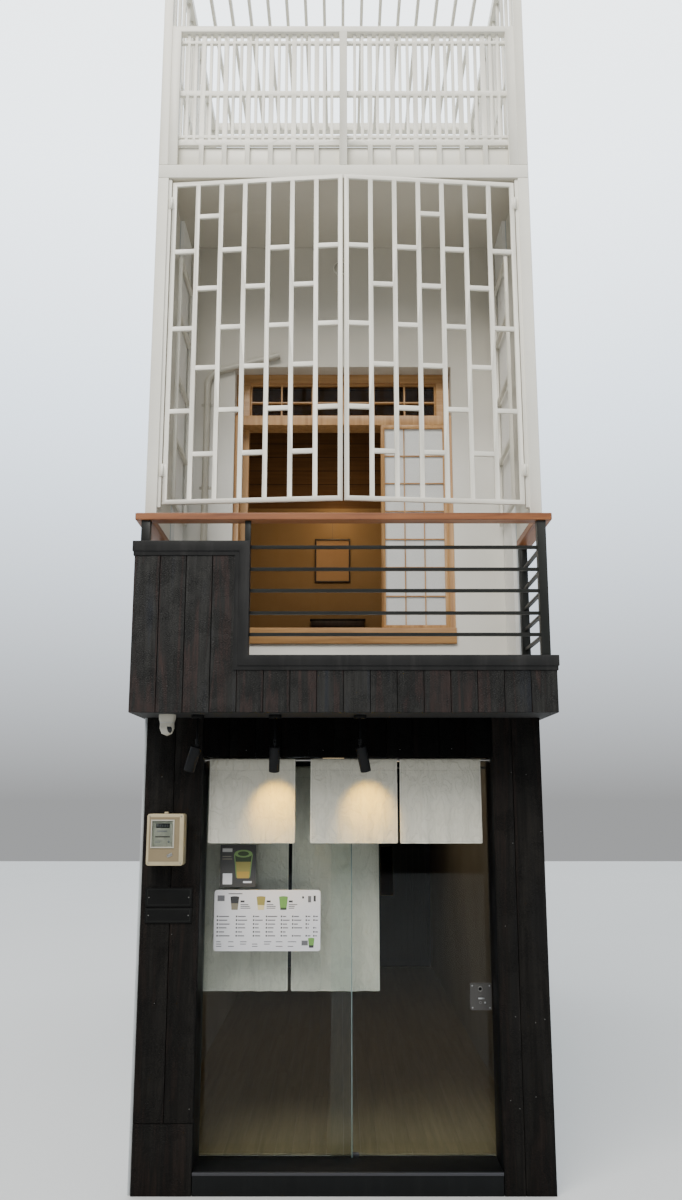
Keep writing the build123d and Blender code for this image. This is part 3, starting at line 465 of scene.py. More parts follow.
# %% Bare metals
def metal(name, colour, rough_low, rough_high, turn=upright, scratch=0.12):
    made, shader, place = finish_named(name, Metallic=1.0)
    grain = grain_of(moved(place, turn=turn), 900.0, 14.0)
    wire(shader, tones(grain["Streak"], dim(colour, 0.82), colour), spread(grain["Fibre"], rough_low, rough_high),
         grain["Fibre"], scratch, 0.0002)
    return made


brushed = metal("Brushed_steel", (0.34, 0.335, 0.32), 0.3, 0.46)
anodised = metal("Satin_aluminium", (0.55, 0.56, 0.57), 0.3, 0.45, along_x)
dark_track = metal("Dark_track_metal", (0.10, 0.10, 0.11), 0.35, 0.5, along_x)
lock_steel = metal("Lock_steel", (0.115, 0.11, 0.105), 0.34, 0.5, scratch=0.06)
print("finishes:", brushed.name, anodised.name, dark_track.name)

# %% Screen paper
paper, shader, place = finish_named("Screen_paper", Roughness=0.9, Transmission_Weight=0.12)
fibres = grain_of(place, 60.0, 12.0)["Fibre"]
wire(shader, tones(fibres, (0.66, 0.67, 0.66), (0.78, 0.78, 0.76), 0.35, 0.65), height=fibres,
     strength=0.1, reach=0.0005)
print("finish:", paper.name)

# %% Linen cloth, with sewn lines by the gap from its edges and its seam, and painted shade in blotches, creases and near the rod
linen, shader, place = finish_named(
    "Undyed_linen", Roughness=0.85, Sheen_Weight=0.25, Sheen_Roughness=0.5, Specular_IOR_Level=0.2)
flat_map = add("ShaderNodeUVMap", {}, shader.id_data, uv_map="Flat").outputs[0]
weave = add("ShaderNodeGroup", {"Vector": flat_map, "Threads": 1800.0}, node_tree=weave_group).outputs
edge_gap, seam_gap = carried(shader, "from_edge"), carried(shader, "from_seam")
seam = sum_of("MAXIMUM", near(edge_gap, 0.012, 0.0022), near(seam_gap, 0.0, 0.003))
slubs = tones(weave["Slub"], (0.60, 0.575, 0.485), (0.65, 0.625, 0.535))
# Soft darker blotches on the linen: partly age, partly painted shade standing in for the shading of folds.
age_and_shade_tint = blend(spread(mottle_of(place, 6.0)["Patch"], 0.0, 0.25), slubs, (0.50, 0.47, 0.37))
hemmed = blend(mapped(edge_gap, 0.0105, 0.0125, 0.55, 0.0), age_and_shade_tint, (0.72, 0.70, 0.61))
# The sewn lines are darker: near the hem and sides for the thread, and along the seam as painted shadow of the
# sleeve's edge.
stitched_and_shadowed = blend(times(seam, 0.45), hemmed, (0.36, 0.34, 0.28))
drawn = moved(place, (1.0, 1.0, 0.55), (0, 0.35, 0))
crease = near(noise(drawn, 15.0, 3.0, bend=0.8), 0.5, 0.07)
# Creases are darkened in the colour: painted shade.
crease_shaded = blend(times(crease, 0.16), stitched_and_shadowed, (0.34, 0.32, 0.26))
# The cloth is darker towards the rod at its top: painted shade under the balcony.
rod_shade_painted = tones(mapped(parts_of(place)[2], 2.30, 2.56), (1.0, 1.0, 1.0), (0.66, 0.66, 0.65), 0.0, 1.0)
threads = plus(times(weave["Thread"], 0.4), minus(weave["Slub"], seam))
folds = plus(times(mottle_of(place, 17.0)["Patch"], 9.0), times(crease, 2.6))
wire(shader, blend(1.0, crease_shaded, rod_shade_painted, "MULTIPLY"), height=plus(threads, folds), strength=0.6, reach=0.0018)
print("finish:", linen.name)

# %% Plain inks for the card and board prints, a lamp's glow and the camera's dark lens
inks = {
    "Ink_grey": (0.12, 0.12, 0.13), "Ink_dark": (0.03, 0.03, 0.033), "Ink_moss": (0.030, 0.050, 0.016),
    "Ink_green": (0.14, 0.30, 0.065), "Ink_pale": (0.42, 0.42, 0.40), "Ink_amber": (0.45, 0.29, 0.055),
    "Ink_stone": (0.20, 0.18, 0.13), "Ink_cream": (0.66, 0.56, 0.30), "Ink_leaf": (0.16, 0.27, 0.08),
    "Ink_olive": (0.30, 0.255, 0.065), "Card_charcoal": (0.047, 0.045, 0.043), "Card_tan": (0.45, 0.31, 0.16),
    "Picture_paper": (0.36, 0.21, 0.085), "Meter_tan": (0.195, 0.150, 0.083), "Meter_grey": (0.25, 0.24, 0.19),
}
ink = {name: painted(name, colour, 0.06, 0.45, 0.6, 0.02, 8.0) for name, colour in inks.items()}
glow, shader, place = finish_named("Warm_lamp_lens", Roughness=0.3, Emission_Strength=12.0)
warm = tones(mottle_of(place, 40.0)["Patch"], (1.0, 0.66, 0.34), (1.0, 0.74, 0.45))
wire(shader, warm)
shader.id_data.links.new(warm, shader.inputs["Emission Color"])
lens_black, shader, place = finish_named("Lens_black", Specular_IOR_Level=0.2, Coat_Weight=0.05,
                                         Coat_Roughness=0.2)
mottle = mottle_of(place, 60.0)
wire(shader, tones(mottle["Patch"], (0.004, 0.004, 0.005), (0.01, 0.01, 0.013)), spread(mottle["Grit"], 0.08, 0.16))
print("inks:", len(ink), "and", glow.name)

# %% [markdown]
# ## Helpers for pieces
# Every piece rides on a body of the house, takes the finishes that it is given and, where it stands for
# a plain solid, hides that solid. Real edges are never sharp, so solids are copied with their corners
# joined and get a small live bevel. Each separate part of a copy gets its own tone number, so that no
# two boards look cut from the same tree.


# %% Put a piece in its place
def linked(name, data):
    """A new object in the scene."""
    made = bpy.data.objects.new(name, data)
    scene.collection.objects.link(made)
    return made


def settle(piece, body="house", stands_for=()):
    """Lets a piece ride on a body and what it stands for."""
    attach(piece, body)
    if stands_for:
        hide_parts(*stands_for)
    return piece


def soft_edges(piece, width, steps, flat=False):
    """A live bevel on the sharp edges, with flat faces kept flat."""
    for face in piece.data.polygons:
        face.use_smooth = not flat
    bevel = piece.modifiers.new("Soft_edges", "BEVEL")
    bevel.width = width
    bevel.segments = steps
    bevel.limit_method = "ANGLE"
    bevel.angle_limit = radians(32)
    bevel.harden_normals = not flat
    bevel.use_clamp_overlap = True


def tone_parts(mesh, seed):
    """Gives each separate part of a mesh its own tone between 0 and 1."""
    chance = random.Random(seed)
    layer = mesh.faces.layers.float.new("tone")
    seen = set()
    for first in mesh.faces:
        if first in seen:
            continue
        tone = chance.random()
        stack = [first]
        seen.add(first)
        while stack:
            face = stack.pop()
            face[layer] = tone
            for edge in face.edges:
                for other in edge.link_faces:
                    if other not in seen:
                        seen.add(other)
                        stack.append(other)


def mesh_with(name, mesh, finishes):
    """Keeps a finished bmesh as mesh data with its finishes."""
    data = bpy.data.meshes.new(name)
    for made in finishes:
        data.materials.append(made)
    mesh.to_mesh(data)
    mesh.free()
    return data


def rounded_copy(name, node, finishes, width=0.002, steps=2, sides=None, flat=False):
    """A copy of a solid with joined corners, tones and soft edges. sides maps a face to a finish index."""
    mesh = bmesh.new()
    mesh.from_mesh(nodes[node].data)
    bmesh.ops.remove_doubles(mesh, verts=mesh.verts, dist=0.00002)
    bmesh.ops.dissolve_limit(mesh, angle_limit=radians(0.5), verts=mesh.verts, edges=mesh.edges)
    tone_parts(mesh, node)
    for face in mesh.faces:
        face.material_index = sides(face) if sides else 0
    finishes = finishes if isinstance(finishes, list) else [finishes]
    piece = linked(name, mesh_with(name, mesh, finishes))
    settle(piece, nodes[node]["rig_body"], (node,))
    if width:
        soft_edges(piece, width, steps, flat)
    return piece


def span_of(node):
    """The lowest corner, the highest corner and the middle of a solid's box."""
    low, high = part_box(node)
    return low, high, (low + high) / 2


print("helpers for pieces are ready")


# %% Small parts in mesh code
def finish_new(mesh, before, finish, smooth=False):
    """Gives a finish index to the faces that a helper has just added."""
    for face in set(mesh.faces) - before:
        face.material_index = finish
        face.smooth = smooth or face.smooth


def box_into(mesh, low, high, finish=0, round_off=0.0, steps=2, turn=None):
    """Adds a box with rounded edges between two corners."""
    before = set(mesh.faces)
    low, high = Vector(low), Vector(high)
    place = Matrix.LocRotScale((low + high) / 2, turn, high - low)
    made = bmesh.ops.create_cube(mesh, size=1, matrix=place)["verts"]
    if round_off:
        edges = list({edge for point in made for edge in point.link_edges})
        bmesh.ops.bevel(mesh, geom=edges, offset=round_off, segments=steps, profile=0.5, affect="EDGES")
    finish_new(mesh, before, finish)


def sheet_into(mesh, across, up, deep, *looks):
    """Adds a box from three pairs: left and right, bottom and top, near and far."""
    box_into(mesh, *zip(across, deep, up), *looks)


def disc_into(mesh, centre, axis, radius, depth, finish=0, sides=24, round_off=0.0, top=None):
    """Adds a round plate or pin about an axis, narrower at its far end if top is given."""
    before = set(mesh.faces)
    turn = Vector(axis).to_track_quat("Z", "Y")
    place = Matrix.LocRotScale(Vector(centre), turn, None)
    made = bmesh.ops.create_cone(mesh, cap_ends=True, segments=sides, radius1=radius,
                                 radius2=radius if top is None else top, depth=depth, matrix=place)["verts"]
    if round_off:
        rims = {edge for point in made for edge in point.link_edges
                if abs((edge.verts[0].co - edge.verts[1].co).dot(Vector(axis).normalized())) < depth * 0.5}
        bmesh.ops.bevel(mesh, geom=list(rims), offset=round_off, segments=2, profile=0.5, affect="EDGES")
    finish_new(mesh, before, finish)


def ring_into(mesh, centre, axis, radius, wire_radius, finish=0, sides=32, round_sides=8):
    """Adds a round ring, like a rim or a gasket."""
    before = set(mesh.faces)
    turn = Vector(axis).to_track_quat("Z", "Y").to_matrix()
    upward = turn @ Vector((0, 0, 1))
    rows = []
    for i in range(sides):
        around = 2 * pi * i / sides
        outward = turn @ Vector((cos(around), sin(around), 0))
        rows.append([mesh.verts.new(Vector(centre) + outward * (radius + wire_radius * cos(2 * pi * j / round_sides))
                                    + upward * wire_radius * sin(2 * pi * j / round_sides))
                     for j in range(round_sides)])
    for i in range(sides):
        for j in range(round_sides):
            ahead, above = (i + 1) % sides, (j + 1) % round_sides
            mesh.faces.new((rows[i][j], rows[ahead][j], rows[ahead][above], rows[i][above]))
    finish_new(mesh, before, finish, True)


def pushed_into(mesh, corners, push, finish):
    """Adds a flat outline that is pushed out into a closed plate."""
    before = set(mesh.faces)
    base = mesh.faces.new([mesh.verts.new(corner) for corner in corners])
    pushed = bmesh.ops.extrude_face_region(mesh, geom=[base])["geom"]
    bmesh.ops.translate(mesh, verts=[item for item in pushed if isinstance(item, bmesh.types.BMVert)], vec=push)
    finish_new(mesh, before, finish)


def border_of(left, right, bottom, top, line, gap=0.0):
    """Four strips round a rectangle, each as a pair across and a pair upwards."""
    upright = (bottom + line + gap, top - line - gap)
    return (((left, right), (bottom, bottom + line)), ((left, right), (top - line, top)),
            ((left, left + line), upright), ((right - line, right), upright))


def piece_from(mesh, name, finishes, body="house", stands_for=(), smooth=True):
    """Turns a finished bmesh into a piece of the house."""
    bmesh.ops.recalc_face_normals(mesh, faces=mesh.faces)
    if "tone" not in mesh.faces.layers.float:
        tone_parts(mesh, name)
    data = mesh_with(name, mesh, finishes)
    if smooth:
        data.shade_smooth()
        data.set_sharp_from_angle(angle=radians(35))
    return settle(linked(name, data), body, stands_for)


print("helpers for small parts are ready")

# %% [markdown]
# ## Rows of boards, screws and nails
# A row of boards is one board repeated with a small random change, so it is a Geometry Nodes tree: a
# line of points, one box per point, and a random tone stored on each. The tree ends in real geometry
# and a material, and is turned into a plain mesh before anything else touches it.


# %% Run a tree and keep its result
def grown(name, tree, values, places=((0, 0, 0),)):
    """Runs a Geometry Nodes tree on some points and returns the mesh object it made."""
    data = bpy.data.meshes.new(name)
    data.from_pydata([tuple(place) for place in places], [], [])
    piece = linked(name, data)
    runner = piece.modifiers.new("Grow", "NODES")
    runner.node_group = tree
    sockets = {item.name: item.identifier for item in tree.interface.items_tree if item.in_out == "INPUT"}
    for key, value in values.items():
        runner[sockets[key]] = value
    piece.update_tag()
    evaluated = piece.evaluated_get(bpy.context.evaluated_depsgraph_get())
    result = bpy.data.meshes.new_from_object(evaluated)
    piece.modifiers.remove(runner)
    piece.data = result
    return piece


def geometry_tree(name, values):
    """An empty Geometry Nodes tree whose named sockets start at these values. None asks for a material."""
    tree = bpy.data.node_groups.new(name, "GeometryNodeTree")
    for way in ("INPUT", "OUTPUT"):
        tree.interface.new_socket("Geometry", in_out=way, socket_type="NodeSocketGeometry")
    for label, value in values.items():
        kind = {int: "Int", float: "Float"}.get(type(value), "Material")
        socket = tree.interface.new_socket(label, in_out="INPUT", socket_type="NodeSocket" + kind)
        if value is not None:
            socket.default_value = value
    return tree, add("NodeGroupInput", {}, tree).outputs


def end_tree(geometry, material):
    """Makes instances real, gives them the material and ends the tree."""
    real = add("GeometryNodeRealizeInstances", {0: geometry}).outputs[0]
    add("NodeGroupOutput", {0: add("GeometryNodeSetMaterial", {"Geometry": real, "Material": material}).outputs[0]})


print("helpers for growing rows are ready")

# %% Board row
board_tree, given = geometry_tree("Board_row", {
    "Count": 8, "Pitch": 0.16, "Gap": 0.003, "Thickness": 0.022, "Bottom": 0.0, "High Top": 1.0,
    "Low Top": 1.0, "Step": 0.0, "Seed": 1, "Material": None})
start = point_of(times(given["Pitch"], 0.5), 0.0, given["Bottom"])
line = add("GeometryNodeMeshLine", {
    "Count": given["Count"], "Start Location": start, "Offset": point_of(given["Pitch"])}).outputs[0]
at_x = parts_of(add("GeometryNodeInputPosition", {}, board_tree).outputs[0])[0]
top = sum_of("MULTIPLY_ADD", sum_of("LESS_THAN", at_x, given["Step"]),
             minus(given["High Top"], given["Low Top"]), given["Low Top"])
size = point_of(minus(given["Pitch"], given["Gap"]), given["Thickness"], minus(top, given["Bottom"]))
one = add("GeometryNodeMeshCube", {"Size": (1, 1, 1)}, board_tree).outputs[0]
lifted = add("GeometryNodeTransform", {"Geometry": one, "Translation": (0, 0.5, 0.5)}).outputs[0]
rows = add("GeometryNodeInstanceOnPoints", {"Points": line, "Instance": lifted, "Scale": size}).outputs[0]
chance = add("FunctionNodeRandomValue", {"Seed": given["Seed"]}, data_type="FLOAT").outputs[1]
toned = add("GeometryNodeStoreNamedAttribute", {"Geometry": rows, "Name": "tone", "Value": chance},
            data_type="FLOAT", domain="INSTANCE").outputs[0]
end_tree(toned, given["Material"])
print("tree:", board_tree.name, "with", len(board_tree.nodes), "nodes")

# %% Screws and nails on given points, turned to face the street
screw_tree, given = geometry_tree("Screw_heads", {
    "Radius": 0.004, "Height": 0.0015, "Slot": 1.0, "Seed": 1, "Material": None})
head = add("GeometryNodeMeshCone", {
    "Vertices": 14, "Radius Top": times(given["Radius"], 0.82), "Radius Bottom": given["Radius"],
    "Depth": given["Height"]}).outputs[0]
groove_size = point_of(times(given["Radius"], 1.5), times(given["Radius"], 0.28), times(given["Height"], 0.5))
groove = add("GeometryNodeMeshCube", {"Size": groove_size}).outputs[0]
raised = add("GeometryNodeTransform", {"Geometry": groove, "Translation": point_of(z=given["Height"])}).outputs[0]
cut = add("GeometryNodeMeshBoolean", {0: head, 1: raised}, operation="DIFFERENCE").outputs[0]
slotted = add("GeometryNodeSwitch", {
    "Switch": sum_of("GREATER_THAN", given["Slot"], 0.5), "False": head, "True": cut},
    input_type="GEOMETRY").outputs[0]
facing = add("GeometryNodeTransform", {"Geometry": slotted, "Rotation": (radians(90), 0, 0)}).outputs[0]
twist = add("FunctionNodeRandomValue", {2: 0.0, 3: 3.1, "Seed": given["Seed"]}, data_type="FLOAT").outputs[1]
heads = add("GeometryNodeInstanceOnPoints", {
    "Points": given["Geometry"], "Instance": facing, "Rotation": point_of(y=twist)}).outputs[0]
end_tree(heads, given["Material"])
print("tree:", screw_tree.name, "with", len(screw_tree.nodes), "nodes")


def screws(name, places, material, radius=0.004, height=0.0015, slotted=True, body="house", seed=3):
    """A set of screw or nail heads whose bases stand on the given points."""
    lifted = [(x, y - height / 2 + 0.0002, z) for x, y, z in places]
    piece = grown(name, screw_tree, {"Radius": radius, "Height": height, "Slot": 1.0 if slotted else 0.0,
                                     "Seed": seed, "Material": material}, lifted)
    return settle(piece, body)


print("screw heads are ready")

# %% [markdown]
# ## The balcony's boards
# Sixteen upright boards make the front. The first four stand high beside the meter side, the rest are
# low. Four more close each side. Behind them a thin dark sheet keeps light out of the gaps.

# %% Lay the balcony boards
front_count, side_count, board_deep, step_x = 16, 4, 0.022, -0.647
panel_low, panel_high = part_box("balcony_panels")
low_top, high_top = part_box("balcony_cap")[0].z + 0.027, panel_high.z
front_pitch = (panel_high.x - panel_low.x) / front_count
side_pitch = (panel_high.y - panel_low.y - board_deep) / side_count
quarter_turn = Matrix.Rotation(radians(90), 4, "Z")
for name, count, pitch, tops, step, seed, shift, stands_for in (
        ("front", front_count, front_pitch, (high_top, low_top), step_x - panel_low.x, 11,
         Matrix.Translation((panel_low.x, panel_low.y, 0)), ("balcony_panels",)),
        ("left", side_count, side_pitch, (high_top, high_top), 0.0, 21,
         Matrix.Translation((panel_low.x + board_deep, panel_low.y + board_deep, 0)) @ quarter_turn, ()),
        ("right", side_count, side_pitch, (low_top, low_top), 0.0, 35,
         Matrix.Translation((panel_high.x, panel_low.y + board_deep, 0)) @ quarter_turn, ())):
    row = grown("Balcony_" + name + "_boards", board_tree, {
        "Count": count, "Pitch": pitch, "Thickness": board_deep, "Bottom": panel_low.z, "High Top": tops[0],
        "Low Top": tops[1], "Step": step, "Seed": seed, "Material": balcony_char})
    row.data.transform(shift)
    settle(row, stands_for=stands_for)
    soft_edges(row, 0.003, 2)
mesh = bmesh.new()
back, foot = panel_low.y + board_deep, panel_low.z + 0.001
sheet_into(mesh, (panel_low.x + 0.021, step_x), (foot, high_top - 0.001), (back - 0.001, back + 0.003))
sheet_into(mesh, (step_x, panel_high.x - 0.021), (foot, low_top - 0.001), (back - 0.001, back + 0.003))
for side, top in ((-1, high_top), (1, low_top)):
    inner = side * (panel_high.x - board_deep)
    sheet_into(mesh, sorted((inner, inner - side * 0.003)), (foot, top - 0.001), (back, panel_high.y))
piece_from(mesh, "Balcony_backing_sheet", [cap_stain])
print("front boards:", front_count, "side boards:", 2 * side_count, "pitch", round(front_pitch, 4))

# %% [markdown]
# ## The shop front
# The same kind of board covers both piers and the header, darker there: partly a darker board tone and
# partly painted shade under the balcony, and near black on the header, which is all painted shade.
# Small nail heads show as pale specks. The cap on the balcony is a moulded board with a bead under it, stained
# black.


# %% Dress the piers, the header and the cap
def on_header(face):
    middle = face.calc_center_median()
    return 1 if middle.z > 2.5 and abs(middle.x) < 0.96 else 0


def on_flank(face):
    return 1 if abs(face.normal.x) > 0.9 and abs(face.calc_center_median().x) > 1.2 else 0


# Header faces take the second finish, which is painted shade.
rounded_copy("Pier_and_header_boards", "front_boards", [shop_char_part_shaded, header_char_painted_shade], 0.0025, 2,
             on_header)
rounded_copy("Balcony_cap_moulding", "balcony_cap", cap_stain, 0.003, 3)
rounded_copy("Shop_front_core", "shopfront_frame", [plinth_stain, side_plaster], 0.002, 1,
             on_flank)
rounded_copy("Entrance_plinth", "entrance_plinth", plinth_stain, 0.004, 2)
rounded_copy("Plinth_metal_edge", "plinth_trim", dark_track, 0.0004, 1)
chance = random.Random(5)
nails = []
for x in (-1.232, -1.150, -1.050, -0.930, 0.985, 1.055, 1.150, 1.232):
    for z in (0.52, 1.02, 1.50, 2.04, 2.46):
        if chance.random() < 0.5:
            nails.append((x + chance.uniform(-0.014, 0.014), front, z + chance.uniform(-0.06, 0.06)))
nails += [(x, front, 2.60 + chance.uniform(-0.01, 0.01)) for x in (-0.62, -0.13, 0.36, 0.69)]
nails = [nail for nail in nails if not (nail[0] < -0.93 and 1.5 < nail[2] < 2.25)]
screws("Pier_nails", nails, brushed, 0.0022, 0.0006, False)
print("nails:", len(nails))

# %% [markdown]
# ## The handrail
# Three boards of red-brown wood, mitred at the corners. The grain of each runs along it, so each has
# its own finish index, and each is its own closed part.

# %% Join the handrail boards
rail_low, rail_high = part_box("handrail")
rail_wide, hair = 0.10, 0.0006
outer_x, outer_y, end_y = rail_high.x, rail_low.y, rail_high.y
inner_x, inner_y = outer_x - rail_wide, outer_y + rail_wide
outlines = [
    (0, [(-outer_x + hair, outer_y), (outer_x - hair, outer_y),
         (inner_x - hair, inner_y), (-inner_x + hair, inner_y)]),
    (1, [(-outer_x, outer_y + hair), (-inner_x, inner_y + hair), (-inner_x, end_y), (-outer_x, end_y)]),
    (1, [(outer_x, outer_y + hair), (outer_x, end_y), (inner_x, end_y), (inner_x, inner_y + hair)])]
mesh = bmesh.new()
for index, outline in outlines:
    pushed_into(mesh, [(x, y, rail_low.z) for x, y in outline], (0, 0, rail_high.z - rail_low.z), index)
handrail = piece_from(mesh, "Handrail_boards", [rail_wood_x, rail_wood_y],
                      stands_for=("handrail",), smooth=False)
soft_edges(handrail, 0.005, 3)
rounded_copy("Railing_bars", "balcony_railing", dark_steel, 0.002, 2)
print("handrail boards:", len(outlines))

# %% [markdown]
# ## White parts of the upper storeys
# Fins, grille leaves, the folded lattices on the side walls and the cage on the roof share two whites:
# a satin paint on steel and a matt plaster.


# %% Dress the white parts
def roof_side(face):
    """Coating on the roof, plaster of the recess on its ceiling, white elsewhere."""
    if face.normal.z < -0.9:
        return 2
    return 1 if face.normal.z > 0.9 and face.calc_center_median().y > -1.3 else 0


for name, node, width, steps in (
        ("Left_grille_leaf", "left_grille", 0.002, 1), ("Right_grille_leaf", "right_grille", 0.002, 1),
        ("Folded_side_lattices", "folded_lattices", 0.002, 1), ("Cage_posts_and_beams", "cage_frame", 0.004, 2),
        ("Front_lattice", "front_lattice", 0.0015, 1), ("Rear_lattice", "rear_lattice", 0.0015, 1),
        ("Side_screens_front", "side_screens_front", 0.0015, 1),
        ("Side_screens_rear", "side_screens_rear", 0.0015, 1), ("Roof_slats", "pergola_slats", 0.003, 2),
        ("Terrace_low_sheets", "terrace_sheets", 0.002, 1)):
    rounded_copy(name, node, white_steel, width, steps)
rounded_copy("Side_fins", "side_fins", white_plaster, 0.004, 2)
rounded_copy("Recess_wall_plaster", "recess_wall", recess_plaster, 0.003, 2)
rounded_copy("Roof_slab_and_parapet", "roof_slab", [white_plaster, roof_coat, recess_plaster], 0.006, 2,
             roof_side)
print("white parts dressed")

# %% Walls and slabs by place
room_half_width, shop_ceiling = 1.2, 2.9
walls_finish, shader, place = finish_named("Party_walls_by_place")
mottle, spot = mottle_of(place, 0.8), parts_of(place)
within = sum_of("LESS_THAN", sum_of("ABSOLUTE", spot[0]), room_half_width)
below = sum_of("LESS_THAN", spot[2], shop_ceiling)
outside = tones(mottle["Patch"], (0.44, 0.47, 0.49), (0.58, 0.61, 0.63))
upper = tones(mottle["Patch"], (0.82, 0.81, 0.77), (0.86, 0.85, 0.81))
# Inside the shop, below its ceiling, the walls are coloured dark: painted shade.
lower_painted_shade = tones(mottle["Patch"], (0.20, 0.19, 0.165), (0.30, 0.28, 0.25))
wire(shader, blend(within, outside, blend(below, upper, lower_painted_shade)), spread(mottle["Rain"], 0.75, 0.92),
     mottle["Grit"], 0.2)
for node, finish in (("party_walls", walls_finish), ("rear_wall", walls_finish), ("first_floor_slab", slab_finish),
                     ("ground_slab", roof_coat), ("inner_wall", ochre_wall), ("back_panel", navy_panel)):
    nodes[node].material_slots[0].material = finish
print("walls and slabs dressed by place")

# %% Lay the shop's plank floor
floor_low, floor_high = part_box("wood_floor")
plank_columns, half_gap = 22, 0.0004
plank_pitch = (floor_high.x - floor_low.x) / plank_columns
mesh = bmesh.new()
chance = random.Random(9)
for column in range(plank_columns):
    left = floor_low.x + column * plank_pitch
    cuts = [floor_low.y]
    while cuts[-1] < floor_high.y - 0.6:
        cuts.append(min(floor_high.y, cuts[-1] + chance.uniform(1.2, 2.2)))
    cuts[-1] = floor_high.y
    for start, end in zip(cuts, cuts[1:]):
        sheet_into(mesh, (left + half_gap, left + plank_pitch - half_gap), (floor_low.z, floor_high.z),
                   (start + half_gap, end - half_gap), 0, 0.0008, 1)
piece_from(mesh, "Shop_floor_planks", [plank_wood], stands_for=("wood_floor",))
print("planks laid across", plank_columns, "columns")

# %% [markdown]
# ## Glass door and its metalwork
# One pane is fixed and one slides. Their long edges are polished and look green. The pane hangs from
# two clamps that run in a track under the header, and its lock is a brushed plate with a keyhole.


# %% Dress the panes and the track
def pane_edge(face):
    """The polished edge is the second finish."""
    return 0 if abs(face.normal.y) > 0.9 else 1


def pane_copy(name, node):
    rounded_copy(name, node, [glass, glass_edge], 0.001, 1, pane_edge, True)


pane_copy("Fixed_pane", "fixed_pane")
pane_copy("Sliding_pane", "sliding_pane")
fixed_low, fixed_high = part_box("fixed_pane")
# A thin green strip on the fixed pane's face, by its right edge, stands for the polished edge catching light: a
# painted highlight.
mesh = bmesh.new()
sheet_into(mesh, (fixed_high.x - 0.0062, fixed_high.x - 0.0004), (fixed_low.z + 0.002, fixed_high.z - 0.002),
           (fixed_low.y - 0.0006, fixed_low.y + 0.0002), 0, 0.0003, 1)
piece_from(mesh, "Fixed_pane_polished_edge", [glass_edge])
pane_copy("Upper_window_panes", "window_glass")
rounded_copy("Door_track_and_guide", "door_track", dark_track, 0.0008, 1)
rounded_copy("Door_hangers", "door_hangers", brushed, 0.001, 2)
rounded_copy("Door_lock_body", "door_lock", lock_steel, 0.0012, 2, flat=True)
lock_x, _, lock_z = span_of("door_lock")[2]
pane_y, plate_thick = -3.317, 0.008
plate_y = pane_y - plate_thick
mesh = bmesh.new()
for z, radius in ((lock_z + 0.047, 0.0135), (lock_z - 0.035, 0.006)):
    centre = (lock_x - 0.004, plate_y - 0.0006, z)
    ring_into(mesh, centre, (0, -1, 0), radius, 0.0016, 0, 28)
    disc_into(mesh, centre, (0, -1, 0), radius * 0.7, 0.0012, 1, 24, 0.0003)
sheet_into(mesh, (lock_x - 0.018, lock_x + 0.022), (lock_z - 0.014, lock_z - 0.005), (plate_y - 0.006, plate_y),
           2, 0.0022)
sheet_into(mesh, (lock_x + 0.020, lock_x + 0.030), (lock_z - 0.040, lock_z - 0.030), (plate_y - 0.003, plate_y),
           2, 0.001)
piece_from(mesh, "Lock_turn_and_rings", [brushed, black_plastic, anodised], "door")
screws("Lock_screws", [(lock_x + dx, plate_y, lock_z + dz) for dx in (-0.055, 0.055) for dz in (-0.066, 0.066)],
       anodised, 0.0045, 0.0012, body="door")
print("door dressed; lock centre", round(lock_x, 3), round(lock_z, 3))

# %% [markdown]
# ## The timber opening and the room behind
# The frame is made of yellow wood, with upright grain in its posts and level grain in its rails. Behind
# it stand three paper screens, one behind the other, and an ochre wall with a bare framed picture.


# %% Dress the opening
sill_top, head_foot = 3.502, 5.06


def level_rail(face):
    """Rails and sills take the level grain."""
    return 0 if sill_top <= face.calc_center_median().z <= head_foot else 1


def picture_face(face):
    return 1 if face.normal.y < -0.9 and face.calc_center_median().y > picture_low.y + 0.004 else 0


picture_low, picture_high, picture_middle = span_of("picture")
picture_x, wall_y = picture_middle.x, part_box("inner_wall")[0].y
for name, node, finish, width, steps, slot, sides in (
        ("Timber_opening_frame", "timber_frame", [frame_wood, frame_wood_x], 0.002, 2, "frame_wood", level_rail),
        ("Transom_sash_bars", "transom_sash", frame_wood_x, 0.001, 1, "frame_wood", None),
        ("Paper_screen_leaves", "shoji_leaves", frame_wood, 0.0008, 1, "frame_wood", None),
        ("Paper_of_screens", "shoji_paper", paper, 0, 0, "shoji_paper", None),
        ("Rear_window_frame", "rear_window", anodised, 0.002, 1, "rail_aluminium", None),
        ("Picture_frame", "picture", [dark_wood, ink["Picture_paper"]], 0.001, 1, "black_plastic", picture_face)):
    rounded_copy(name, node, finish, width, steps, sides)
mesh = bmesh.new()
sheet_into(mesh, (picture_x - 0.001, picture_x + 0.001), (picture_high.z, 5.02), (wall_y - 0.004, wall_y - 0.002))
disc_into(mesh, (picture_x, wall_y - 0.004, 5.025), (0, 1, 0), 0.006, 0.008, 0, 16, 0.001)
sheet_into(mesh, (picture_x - 0.012, picture_x + 0.012), (picture_high.z - 0.004, picture_high.z + 0.004),
           (wall_y - 0.008, wall_y - 0.001), 0, 0.001)
piece_from(mesh, "Picture_hook_and_wire", [dark_track])
mesh = bmesh.new()
sheet_into(mesh, (-0.31, 0.215), (3.958, 3.972), (wall_y - 0.09, wall_y), 1, 0.002)
sheet_into(mesh, (-0.30, 0.205), (3.900, 3.957), (wall_y - 0.082, wall_y), 0, 0.003)
piece_from(mesh, "Low_wall_ledge", [dark_wood, dark_steel])
mesh = bmesh.new()
recess_y, recess_lamp_x, recess_lamp_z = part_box("recess_wall")[0].y, -0.02, 6.32
disc_into(mesh, (recess_lamp_x, recess_y - 0.008, recess_lamp_z), (0, -1, 0), 0.058, 0.016, 0, 40, 0.003)
